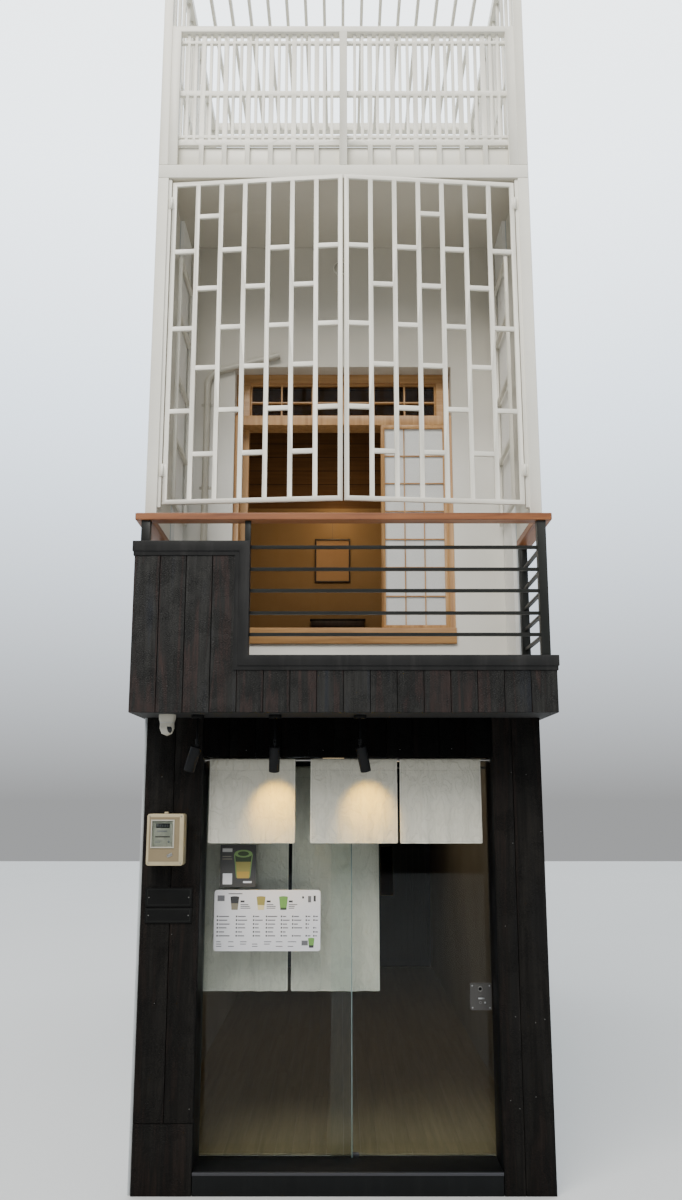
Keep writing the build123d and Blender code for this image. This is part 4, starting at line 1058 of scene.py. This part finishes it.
disc_into(mesh, (recess_lamp_x, recess_y - 0.022, recess_lamp_z), (0, -1, 0), 0.050, 0.014, 1, 40, 0.004, top=0.034)
ring_into(mesh, (recess_lamp_x, recess_y - 0.016, recess_lamp_z), (0, -1, 0), 0.052, 0.003, 0, 40)
piece_from(mesh, "Recess_lamp", [white_steel, ivory_plastic])
print("room dressed; picture centre x =", round(picture_x, 3))

# %% [markdown]
# ## Pipes
# The bent pipe on the recess wall is smooth plastic held by saddle clips, open and dark at its end. The
# thin drain beside the meter is grey.


# %% Dress the pipes
def saddle_into(mesh, x, y, z, radius, wall, height=0.022, sides=14):
    """A strap over an upright pipe, with a foot on each side against the wall behind it."""
    def line_at(reach, level, ankle):
        over = [(x + reach * cos(pi + pi * i / sides), y + reach * sin(pi + pi * i / sides))
                for i in range(sides + 1)]
        return ([(x - radius - 0.022, level), (x - radius - ankle, level)] + over
                + [(x + radius + ankle, level), (x + radius + 0.022, level)])

    thick = 0.002
    inner_line = line_at(radius + 0.0005, wall - 0.0002, 0.001)
    outer_line = line_at(radius + thick + 0.0005, wall - thick, 0.003)
    rings = [[mesh.verts.new((px, py, level)) for px, py in inner_line + outer_line[::-1]]
             for level in (z - height / 2, z + height / 2)]
    count, total = len(inner_line), 2 * len(inner_line)
    for i in range(total):
        ahead = (i + 1) % total
        mesh.faces.new((rings[0][i], rings[0][ahead], rings[1][ahead], rings[1][i]))
    for ring in rings:
        for i in range(count - 1):
            mesh.faces.new((ring[i], ring[i + 1], ring[total - 2 - i], ring[total - 1 - i]))


pipe_radius = 0.024
pipe_low, _, pipe_middle = span_of("wall_pipe")
rounded_copy("Bent_wall_pipe", "wall_pipe", ivory_plastic, 0, 0)
run = (Vector((-0.484, 0, 5.589)) - Vector((-1.020, 0, 5.440))).normalized()
mouth = Vector((-0.484, pipe_middle.y, 5.589))
mesh = bmesh.new()
disc_into(mesh, mouth + run * 0.0005, run, pipe_radius * 0.86, 0.0012, 1, 32)
ring_into(mesh, mouth, run, pipe_radius - 0.0016, 0.0016)
piece_from(mesh, "Pipe_mouth", [ivory_plastic, black_plastic])
mesh = bmesh.new()
for level in (3.62, 4.55, 5.20):
    saddle_into(mesh, pipe_low.x + pipe_radius, pipe_middle.y, level, pipe_radius, recess_y)
piece_from(mesh, "Pipe_saddles", [ivory_plastic])
rounded_copy("Thin_drain_pipe", "drain_pipe", grey_plastic, 0, 0)
drain_x, drain_y, _ = span_of("drain_pipe")[2]
mesh = bmesh.new()
for level in (0.35, 1.25, 2.35):
    ring_into(mesh, (drain_x, drain_y, level), (0, 0, 1), 0.0112, 0.0022, 0, 28)
piece_from(mesh, "Drain_bands", [grey_plastic])
print("pipe end at", [round(part, 3) for part in mouth])

# %% [markdown]
# ## Fittings on the left pier
# The meter box is moulded cream plastic with a clear cover over a pale face: a row of small dark number
# windows, a slot for the disc, a catch, a lug and screws. Under it hang two bare black plates with a
# thin border. The security camera is a ball with a dark lens.

# %% Meter box
meter_low, meter_high, meter_middle = span_of("meter_box")
face_y = meter_low.y
rounded_copy("Meter_box_body", "meter_box", cream_plastic, 0.003, 3)
view_left, view_right, view_bottom, view_top = -1.180, -1.050, 2.003, 2.159
inset_y = face_y + 0.005
mesh = bmesh.new()
sheet_into(mesh, (view_left, view_right), (view_bottom, view_top), (inset_y - 0.0012, inset_y), 0, 0.0004, 1)
sheet_into(mesh, (view_left + 0.024, view_right - 0.022), (2.116, 2.143), (inset_y - 0.0020, inset_y - 0.0010),
           1, 0.0004, 1)
for index in range(5):
    left = view_left + 0.028 + index * 0.0152
    sheet_into(mesh, (left, left + 0.0118), (2.121, 2.138), (inset_y - 0.0026, inset_y - 0.0018), 2, 0.0003, 1)
for across, up, finish in (((view_left + 0.030, view_right - 0.038), (2.094, 2.100), 3),
                           ((view_left + 0.020, view_right - 0.020), (2.060, 2.066), 1),
                           ((view_left + 0.020, view_left + 0.060), (2.036, 2.039), 3),
                           ((view_left + 0.020, view_left + 0.052), (2.028, 2.031), 3)):
    sheet_into(mesh, across, up, (inset_y - 0.0019, inset_y - 0.0011), finish)
disc_into(mesh, (view_right - 0.026, inset_y - 0.0018, 2.034), (0, -1, 0), 0.007, 0.002, 3, 24, 0.0004)
piece_from(mesh, "Meter_face", [ink["Meter_grey"], black_plastic, ink["Ink_dark"], ink["Ink_grey"]])
mesh = bmesh.new()
low_x, high_x, low_z, high_z = meter_low.x + 0.014, meter_high.x - 0.026, 1.915, 2.182
for across, up in (((low_x, high_x), (low_z, view_bottom - 0.0085)), ((low_x, high_x), (view_top + 0.0085, high_z)),
                   ((low_x, view_left - 0.0085), (view_bottom - 0.008, view_top + 0.008)),
                   ((view_right + 0.0085, high_x), (view_bottom - 0.008, view_top + 0.008))):
    sheet_into(mesh, across, up, (face_y - 0.0012, face_y + 0.0005), 0, 0.0004, 1)
piece_from(mesh, "Meter_inner_panel", [ink["Meter_tan"]])
mesh = bmesh.new()
rim = 0.007
for across, up in border_of(view_left - rim, view_right + rim, view_bottom - rim, view_top + rim, rim, 0.0002):
    sheet_into(mesh, across, up, (face_y - 0.006, face_y + 0.001), 0, 0.0018)
piece_from(mesh, "Meter_window_rim", [ivory_plastic])
mesh = bmesh.new()
sheet_into(mesh, (view_left, view_right), (view_bottom, view_top), (face_y - 0.0035, face_y - 0.0015), 0, 0.0004, 1)
piece_from(mesh, "Meter_clear_cover", [glass])
mesh = bmesh.new()
catch_x, slant = meter_middle.x + 0.030, Matrix.Rotation(radians(-25), 3, "Y").to_quaternion()
sheet_into(mesh, (catch_x - 0.016, catch_x + 0.018), (1.944, 1.962), (face_y - 0.004, face_y), 0, 0.0015, 2, slant)
disc_into(mesh, (catch_x, face_y - 0.005, 1.953), (0, -1, 0), 0.006, 0.004, 0, 20, 0.0008)
sheet_into(mesh, (meter_middle.x - 0.012, meter_middle.x + 0.012), (meter_high.z - 0.0005, meter_high.z + 0.012),
           (face_y + 0.02, face_y + 0.05), 1, 0.003)
piece_from(mesh, "Meter_catch_and_lug", [brushed, cream_plastic])
screws("Meter_screws", [(x, face_y, z) for z in (1.905, 2.186) for x in (meter_low.x + 0.016, meter_high.x - 0.016)],
       brushed, 0.0045, 0.0012)
print("meter box face at y =", round(face_y, 3))

# %% Number plates, left bare
plate_low, plate_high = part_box("number_plaque")
rounded_copy("Pier_plates", "number_plaque", black_plastic, 0.0012, 2)
mesh = bmesh.new()
for bottom, top in ((1.542, 1.632), (1.638, 1.751)):
    for across, up in border_of(plate_low.x + 0.012, plate_high.x - 0.012, bottom + 0.010, top - 0.010, 0.0022):
        sheet_into(mesh, across, up, (plate_low.y - 0.0006, plate_low.y + 0.0002))
piece_from(mesh, "Plate_borders", [dark_steel])
screws("Plate_screws", [(x, plate_low.y, z) for x in (plate_low.x + 0.022, plate_high.x - 0.022)
                        for z in (1.587, 1.694)], brushed, 0.0035, 0.001)
print("plates:", round(plate_high.x - plate_low.x, 3), "m wide, bare")

# %% Security camera with its dark lens
ball_radius = 0.045
camera_low, camera_high, camera_middle = span_of("security_camera")
rounded_copy("Camera_body", "security_camera", ivory_plastic, 0, 0)
ball = Vector((camera_middle.x, camera_middle.y, camera_low.z + ball_radius))
look = Vector((0.50, -0.85, -0.13)).normalized()
side = look.cross(Vector((0, 0, 1))).normalized()
up = side.cross(look).normalized()
slant = radians(-24)
wide_axis = side * cos(slant) + up * sin(slant)
tall_axis = up * cos(slant) - side * sin(slant)


def lens_patch(name, reach, half_wide, half_tall, finish, rings=6, around=32):
    """A thin oval shell that follows the ball."""
    mesh = bmesh.new()
    layers = []
    for lift in (reach, 0.0440):
        middle = mesh.verts.new(ball + look * lift)
        rows = []
        for ring in range(1, rings + 1):
            row = []
            for step in range(around):
                turn = 2 * pi * step / around
                point = look * ball_radius + wide_axis * half_wide * cos(turn) * ring / rings
                point += tall_axis * half_tall * sin(turn) * ring / rings
                row.append(mesh.verts.new(ball + point.normalized() * lift))
            rows.append(row)
        for step in range(around):
            ahead = (step + 1) % around
            mesh.faces.new((middle, rows[0][step], rows[0][ahead]))
            for near_row, far_row in zip(rows, rows[1:]):
                mesh.faces.new((near_row[step], far_row[step], far_row[ahead], near_row[ahead]))
        layers.append(rows[-1])
    for step in range(around):
        ahead = (step + 1) % around
        mesh.faces.new((layers[0][step], layers[0][ahead], layers[1][ahead], layers[1][step]))
    return piece_from(mesh, name, [finish])


lens_patch("Camera_lens_window", 0.0458, 0.0155, 0.029, lens_black)
mesh = bmesh.new()
ring_into(mesh, (ball.x, ball.y, camera_high.z - 0.050), (0, 0, 1), 0.0447, 0.0016, 0, 48)
piece_from(mesh, "Camera_seam", [grey_plastic])
print("camera ball centre:", [round(part, 3) for part in ball])

# %% [markdown]
# ## Lamps under the balcony
# Three black cylinders hang on turning stems. Each lens sits inside its mouth and rides with its head,
# and the two lit ones carry their own light, so that a turned lamp lights another place.

# %% A helper for lights
def shine(name, kind, place, towards, power, colour, **settings):
    """A light at a place, turned along a direction."""
    light = bpy.data.lights.new(name, kind)
    light.energy, light.color = power, colour
    for key, value in settings.items():
        setattr(light, key, value)
    shining = linked(name, light)
    shining.location = place
    shining.rotation_euler = towards.to_track_quat("-Z", "Y").to_euler()
    return shining


print("the helper for lights is ready")

# %% Dress the lamps
lens_gap, bezel_gap, light_gap, street_gap, pin_height = 0.1665, 0.1705, 0.178, 0.22, 2.625
rounded_copy("Lamp_roses", "lamp_bases", black_plastic, 0.001, 2)
tube_black = painted("Black_lamp_paint", (0.004, 0.0042, 0.0048), 0.1, 0.40, 0.5, 0.06, 9.0, 300.0, 0.15)
for name, (lamp_x, heading, lean, lit) in {
        "left": (-0.903, 143, 22, False), "middle": (-0.424, 96, 18, True), "right": (0.102, 53, 20, True)}.items():
    head = "lamp_head_" + name
    rounded_copy("Lamp_stem_" + name, "lamp_arm_" + name, tube_black, 0.0008, 1)
    rounded_copy("Lamp_tube_" + name, head, tube_black, 0.0015, 2)
    turn, tip = radians(heading), radians(lean)
    beam = Vector((cos(turn) * sin(tip), sin(turn) * sin(tip), -cos(tip)))
    pivot = Vector((lamp_x, front - street_gap, pin_height))
    mesh = bmesh.new()
    disc_into(mesh, pivot + beam * lens_gap, beam, 0.0286, 0.003, 0, 36, 0.0006)
    ring_into(mesh, pivot + beam * bezel_gap, beam, 0.0275, 0.0014, 1, 36)
    lens = piece_from(mesh, "Lamp_lens_" + name, [glow if lit else glass_edge, tube_black],
                      head + "_body")
    if lit:
        thrown = Vector((beam.x * 0.3, beam.y + 0.80, beam.z))
        shining = shine("Lamp_light_" + name, "SPOT", pivot + beam * light_gap, thrown, 27.0, (1.0, 0.58, 0.015),
                        spot_size=radians(68), spot_blend=1.0, shadow_soft_size=0.02)
        shining.parent = lens
        shining.matrix_parent_inverse = lens.matrix_world.inverted()
    print("lamp", name, "lit" if lit else "off", "beam", [round(part, 2) for part in beam])

# %% [markdown]
# ## Boards on the glass
# The menu board and the poster keep their places and colours but carry no wording: cups of three plain
# drinks, and bars where lines of text would be. Everything printed is a thin raised layer of ink.


# %% Helpers for prints
def plate_into(mesh, outline, y, thickness, finish):
    """A flat shape from (x, z) points, as a thin closed plate standing proud towards the street."""
    pushed_into(mesh, [(x, y, z) for x, z in outline], (0, -thickness, 0), finish)


def layers_into(mesh, x, bottom, wide, tall, y, layers):
    """The drink of a tapered cup in side view, in layers between two shares of its height."""
    for low, high, finish in layers:
        near_half, far_half = (wide * (0.34 + 0.16 * level) for level in (low, high))
        plate_into(mesh, [(x - near_half, bottom + tall * low), (x + near_half, bottom + tall * low),
                          (x + far_half, bottom + tall * high), (x - far_half, bottom + tall * high)],
                   y, 0.0005, finish)


def oval_into(mesh, x, z, half_wide, half_tall, y, lift, finish, sides):
    plate_into(mesh, [(x + half_wide * cos(2 * pi * i / sides), z + half_tall * sin(2 * pi * i / sides))
                      for i in range(sides)], y, lift, finish)


def bar_into(mesh, left, level, wide, tall, finish, y):
    """A plain bar of ink where a line would be."""
    plate_into(mesh, [(left, level), (left + wide, level), (left + wide, level + tall), (left, level + tall)],
               y, 0.0004, finish)


rounded_copy("Menu_and_poster_boards", "window_boards", [board_white, ink["Card_charcoal"]], 0.001, 2,
             lambda face: 1 if face.calc_center_median().z > 1.726 else 0)
rounded_copy("Door_card", "door_notice", ink["Card_tan"], 0.0003, 1)
boards_low, boards_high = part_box("window_boards")
menu_y, poster_y = boards_low.y + 0.0001, boards_high.y - 0.002 + 0.0001
print("boards stand at y =", round(menu_y, 3))

# %% Print the menu
chance = random.Random(17)
mesh = bmesh.new()
GREY, DARK, GREEN, CREAM, WHITE, LEAF, OLIVE, MOSS, PALE, AMBER, STONE = range(11)
for x, bottom, wide, tall, upper, lower_painted_shade, split in (
        (-0.699, 1.594, 0.058, 0.084, DARK, STONE, 0.48), (-0.530, 1.594, 0.058, 0.084, OLIVE, CREAM, 0.35),
        (-0.386, 1.594, 0.058, 0.084, GREEN, MOSS, 0.16), (-0.206, 1.362, 0.042, 0.060, GREEN, DARK, 0.25)):
    layers_into(mesh, x, bottom, wide, tall, menu_y, ((0.0, split, lower_painted_shade), (split, 0.92, upper)))
    oval_into(mesh, x, bottom + tall * 0.94, wide * 0.5, wide * 0.10, menu_y, 0.0008, upper, 20)
for left, base in ((-0.662, 1.64), (-0.494, 1.64), (-0.352, 1.64)):
    bar_into(mesh, left, base, 0.026, 0.012, DARK, menu_y)
    for row in range(3):
        bar_into(mesh, left, base - 0.016 - 0.011 * row, chance.uniform(0.035, 0.066), 0.0052, GREY, menu_y)
bar_into(mesh, -0.740, 1.691, 0.090, 0.006, GREY, menu_y)
for left, wide in ((-0.812, 0.088), (-0.690, 0.072), (-0.580, 0.066), (-0.498, 0.076), (-0.402, 0.056),
                   (-0.330, 0.066), (-0.243, 0.030), (-0.194, 0.028)):
    for level in (1.550, 1.527, 1.503, 1.480, 1.455, 1.431):
        if chance.random() < 0.12:
            continue
        bar_into(mesh, left, level - 0.001, 0.009, 0.010, DARK, menu_y)
        bar_into(mesh, left + 0.013, level + 0.0002, wide * chance.uniform(0.45, 0.95) - 0.007, 0.0066, GREY, menu_y)
for column in range(7):
    for row in range(3):
        if chance.random() < 0.7:
            bar_into(mesh, -0.812 + column * 0.076, 1.396 - row * 0.014, chance.uniform(0.025, 0.055), 0.0048,
                     GREY, menu_y)
for left, low, wide, tall, finish in ((-0.266, 1.664, 0.012, 0.014, DARK), (-0.228, 1.640, 0.020, 0.040, GREY),
                                      (-0.192, 1.646, 0.014, 0.036, DARK), (-0.810, 1.648, 0.046, 0.036, GREY),
                                      (-0.268, 1.376, 0.040, 0.030, GREY)):
    bar_into(mesh, left, low, wide, tall, finish, menu_y)
print("printed on the menu:", len(mesh.faces), "faces")

# %% Print the poster
cup_x, cup_bottom, cup_wide, cup_tall = -0.649, 1.790, 0.112, 0.172
layers_into(mesh, cup_x, cup_bottom, cup_wide, cup_tall, poster_y,
            ((0.0, 0.24, AMBER), (0.24, 0.60, OLIVE), (0.60, 0.88, MOSS)))
for side in (-1, 1):
    base, brim = cup_x + side * cup_wide * 0.35, cup_x + side * cup_wide * 0.49
    strip = [(base, 1.794), (base + side * 0.006, 1.794), (brim + side * 0.006, 1.940), (brim, 1.940)]
    plate_into(mesh, strip[::side], poster_y, 0.0005, LEAF)
for size, lift, finish in ((1.0, 0.0008, LEAF), (0.62, 0.0011, MOSS)):
    oval_into(mesh, cup_x, 1.944, 0.058 * size, 0.024 * size, poster_y, lift, finish, 28)
for left, low, wide, tall, finish in ((-0.785, 1.955, 0.064, 0.022, PALE), (-0.785, 1.924, 0.058, 0.005, STONE),
                                      (-0.785, 1.908, 0.064, 0.005, STONE), (-0.780, 1.752, 0.060, 0.068, WHITE),
                                      (-0.648, 1.760, 0.055, 0.012, WHITE)):
    bar_into(mesh, left, low, wide, tall, finish, poster_y)
print_inks = [ink["Ink_" + name] for name in ("grey", "dark", "green", "cream", "leaf", "olive", "moss", "pale",
                                              "amber", "stone")]
print_inks.insert(WHITE, board_white)
piece_from(mesh, "Board_prints", print_inks, smooth=False)
print("prints on the boards:", "four cups and plain bars")

# %% [markdown]
# ## Hanging cloths
# Five linen cloths hang from two rods. Each is cut flat, its top is turned over the rod and sewn down
# as a sleeve, and the rest hangs free. The sleeve is pinned, the cloth is allowed to be one or two parts
# in a hundred wider than its rod space, and a short simulation lets it fall into soft upright folds.
# The result is kept as a plain mesh with a flat map in metres for the weave.

# %% Dress the rods
outer_rod, inner_rod = (0.10, 2.539), (0.42, 2.500)
rounded_copy("Cloth_rods", "noren_rods", brushed, 0, 0)
mesh = bmesh.new()
for side, (deep, level) in ((-0.895, outer_rod), (0.945, outer_rod), (-1.176, inner_rod), (1.176, inner_rod)):
    inward = 1 if side < 0 else -1
    for reach, radius, depth in ((0.002, 0.016, 0.004), (0.008, 0.011, 0.010)):
        disc_into(mesh, (side + inward * reach, front + deep, level), (1, 0, 0), radius, depth, 0, 28, 0.001)
piece_from(mesh, "Rod_end_flanges", [brushed])
print("rods end in four flanges")


# %% Cut each cloth
def cloth_profile(rod_y, rod_z, hem_z, cell):
    """Points down the cloth from the back of the sleeve over the rod to the hem, and the sewn row."""
    radius, sewn = 0.0094, 0.065
    fold = ((0.0013, sewn), (0.0045, 0.042), (0.0082, 0.018))
    points = [(rod_y + out, rod_z - down) for out, down in fold]
    points += [(rod_y + radius * cos(pi * i / 8), rod_z + radius * sin(pi * i / 8)) for i in range(9)]
    points += [(rod_y - out, rod_z - down) for out, down in fold[::-1]]
    row = len(points) - 1
    drop = rod_z - sewn - hem_z
    count = round(drop / cell)
    points += [(rod_y - 0.0013, rod_z - sewn - drop * i / count) for i in range(1, count + 1)]
    return points, row


def hang(name, left, right, rod_y, rod_z, hem_z, cell, spare, seed):
    """A flat cloth on its rod, with pinned sleeve, ready for the simulation."""
    chance = random.Random(seed)
    points, row = cloth_profile(rod_y, rod_z, hem_z, cell)
    columns, wide = round((right - left) / cell), right - left
    down = [0.0]
    for first, second in zip(points, points[1:]):
        down.append(down[-1] + (Vector(first) - Vector(second)).length)
    length = down[-1]
    waves = [(chance.uniform(2.2, 5.5), chance.uniform(0, 2 * pi), chance.uniform(0.4, 1.0)) for _ in range(4)]
    verts, faces, flat = [], [], []
    for (y, z), along in zip(points, down):
        free = max(0.0, (along - down[row]) / (length - down[row]))
        for j in range(columns + 1):
            part = j / columns
            nudge = sum(size * sin(2 * pi * count * part + phase) for count, phase, size in waves) * 0.0045 * free
            verts.append((left + wide * part, y + nudge, z))
            flat.append((part * wide, length - along))
    for i in range(len(points) - 1):
        for j in range(columns):
            first = i * (columns + 1) + j
            faces.append((first, first + columns + 1, first + columns + 2, first + 1))
    data = bpy.data.meshes.new(name)
    data.from_pydata(verts, [], faces)
    unwrapped = data.uv_layers.new(name="Flat")
    for loop in data.loops:
        unwrapped.data[loop.index].uv = flat[loop.vertex_index]
    edge_gap = data.attributes.new("from_edge", "FLOAT", "POINT")
    seam_gap = data.attributes.new("from_seam", "FLOAT", "POINT")
    for index, (u, v) in enumerate(flat):
        edge_gap.data[index].value = min(u, right - left - u, v)
        seam_gap.data[index].value = down[index // (columns + 1)] - down[row]
    data.materials.append(linen)
    piece = linked(name, data)
    pinned = piece.vertex_groups.new(name="Sleeve")
    pinned.add(list(range((row + 1) * (columns + 1))), 1.0, "REPLACE")
    cloth = piece.modifiers.new("Fall", "CLOTH")
    for key, value in {"vertex_group_mass": "Sleeve", "shrink_min": -spare, "quality": 6, "mass": 0.12,
                       "air_damping": 2.0, "tension_stiffness": 18, "compression_stiffness": 18,
                       "shear_stiffness": 8, "bending_stiffness": 0.25}.items():
        setattr(cloth.settings, key, value)
    cloth.collision_settings.use_collision = False
    cloth.point_cache.frame_start, cloth.point_cache.frame_end = 1, fall_frames
    return piece, wide, length


fall_frames, cloth_thick = 45, 0.0012
print("a cloth falls for", fall_frames, "frames")

# %% Hang them and keep the fallen shapes
cloths = []
for name, left, right, (deep, rod_z), hem_z, cell, spare, seed in (
        ("Short_cloth_left", -0.862, -0.310, outer_rod, 2.020, 0.0125, 0.010, 3),
        ("Short_cloth_middle", -0.212, 0.345, outer_rod, 2.020, 0.0125, 0.010, 8),
        ("Short_cloth_right", 0.361, 0.883, outer_rod, 2.020, 0.0125, 0.012, 12),
        ("Long_cloth_left", -0.917, -0.365, inner_rod, 1.092, 0.016, 0.014, 21),
        ("Long_cloth_right", -0.339, 0.234, inner_rod, 1.092, 0.016, 0.014, 27)):
    cloths.append((*hang(name, left, right, front + deep, rod_z, hem_z, cell, spare, seed), spare))
scene.frame_start, scene.frame_end = 1, fall_frames
for step in range(1, fall_frames + 1):
    scene.frame_set(step)
for piece, wide, long, spare in cloths:
    fallen = piece.evaluated_get(bpy.context.evaluated_depsgraph_get())
    result = bpy.data.meshes.new_from_object(fallen)
    piece.modifiers.clear()
    piece.data = result
    for face in piece.data.polygons:
        face.use_smooth = True
    smooth = piece.modifiers.new("Finer", "SUBSURF")
    smooth.levels = smooth.render_levels = 1
    smooth.uv_smooth = "NONE"
    thick = piece.modifiers.new("Thickness", "SOLIDIFY")
    thick.thickness = cloth_thick
    thick.offset = 0
    settle(piece)
    corners = [piece.matrix_world @ Vector(point) for point in piece.bound_box]
    print(piece.name, "hem at", round(min(point.z for point in corners), 3),
          "depth", round(max(point.y for point in corners) - min(point.y for point in corners), 3))
scene.frame_set(1)
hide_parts("outer_noren")
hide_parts("inner_noren")

# %% [markdown]
# ## Light and floor
# The photograph was taken on a bright, hazy day: light comes from the whole sky, a little stronger from
# above the street. Inside, the shop has a few dim warm lamps, and the upper room a warm light that
# washes the ochre wall.

# %% Studio light
world = bpy.data.worlds.new("Studio")
world.use_nodes = True
sky = world.node_tree
ground = sky.nodes["Background"].inputs
_, heading, aim = parts_of(add("ShaderNodeTexCoord", {}, sky).outputs["Generated"])
haze = ramp(aim, [(0.0, (0.58, 0.59, 0.60)), (0.35, (0.72, 0.82, 0.93)), (0.9, (0.97, 1.0, 1.0))])
houses = times(times(mapped(aim, 0.05, 0.5, 1.0, 0.0), mapped(heading, 0.2, -0.5)), 0.88)
open_sky = times(times(mapped(heading, 0.1, 0.6), mapped(aim, 0.0, 0.55)), 2.4)
base = times(spread(aim, 0.68, 1.9), minus(1.0, houses))
sky.links.new(haze, ground["Color"])
sky.links.new(plus(base, open_sky), ground["Strength"])
scene.world = world
for name, place, aim, wide, tall, power, colour in (
        ("Sky_key", (-4.0, -13.0, 15.0), (0, front, 4.0), 9, 6, 3300, (1.0, 0.965, 0.90)),
        ("Shop_ceiling_light", (0.3, -0.4, 2.70), (0.3, -0.4, 0), 1.0, 3.0, 8, (1.0, 0.72, 0.42)),
        ("Room_wall_light", (-0.07, -1.70, 5.06), (-0.07, -0.60, 4.15), 0.6, 0.3, 6.0, (1.0, 0.68, 0.36)),
        ("Picture_light", (-0.05, -0.86, 5.08), (-0.05, -0.60, 4.6), 0.10, 0.05, 0.75, (1.0, 0.68, 0.36))):
    shine(name, "AREA", place, Vector(aim) - Vector(place), power, colour, shape="RECTANGLE", size=wide, size_y=tall)
reach = 30
floor_mesh = bpy.data.meshes.new("Pale_floor")
floor_mesh.from_pydata([(-reach, -reach, 0), (reach, -reach, 0), (reach, reach, 0), (-reach, reach, 0)], [],
                       [(0, 1, 2, 3)])
floor = linked("Pale_floor", floor_mesh)
floor_paint, shader, place = finish_named("Pale_studio_floor")
mottle = mottle_of(place, 0.15)
wire(shader, tones(mottle["Patch"], (0.46, 0.46, 0.455), (0.48, 0.48, 0.475)), spread(mottle["Grit"], 0.8, 0.9))
floor_mesh.materials.append(floor_paint)
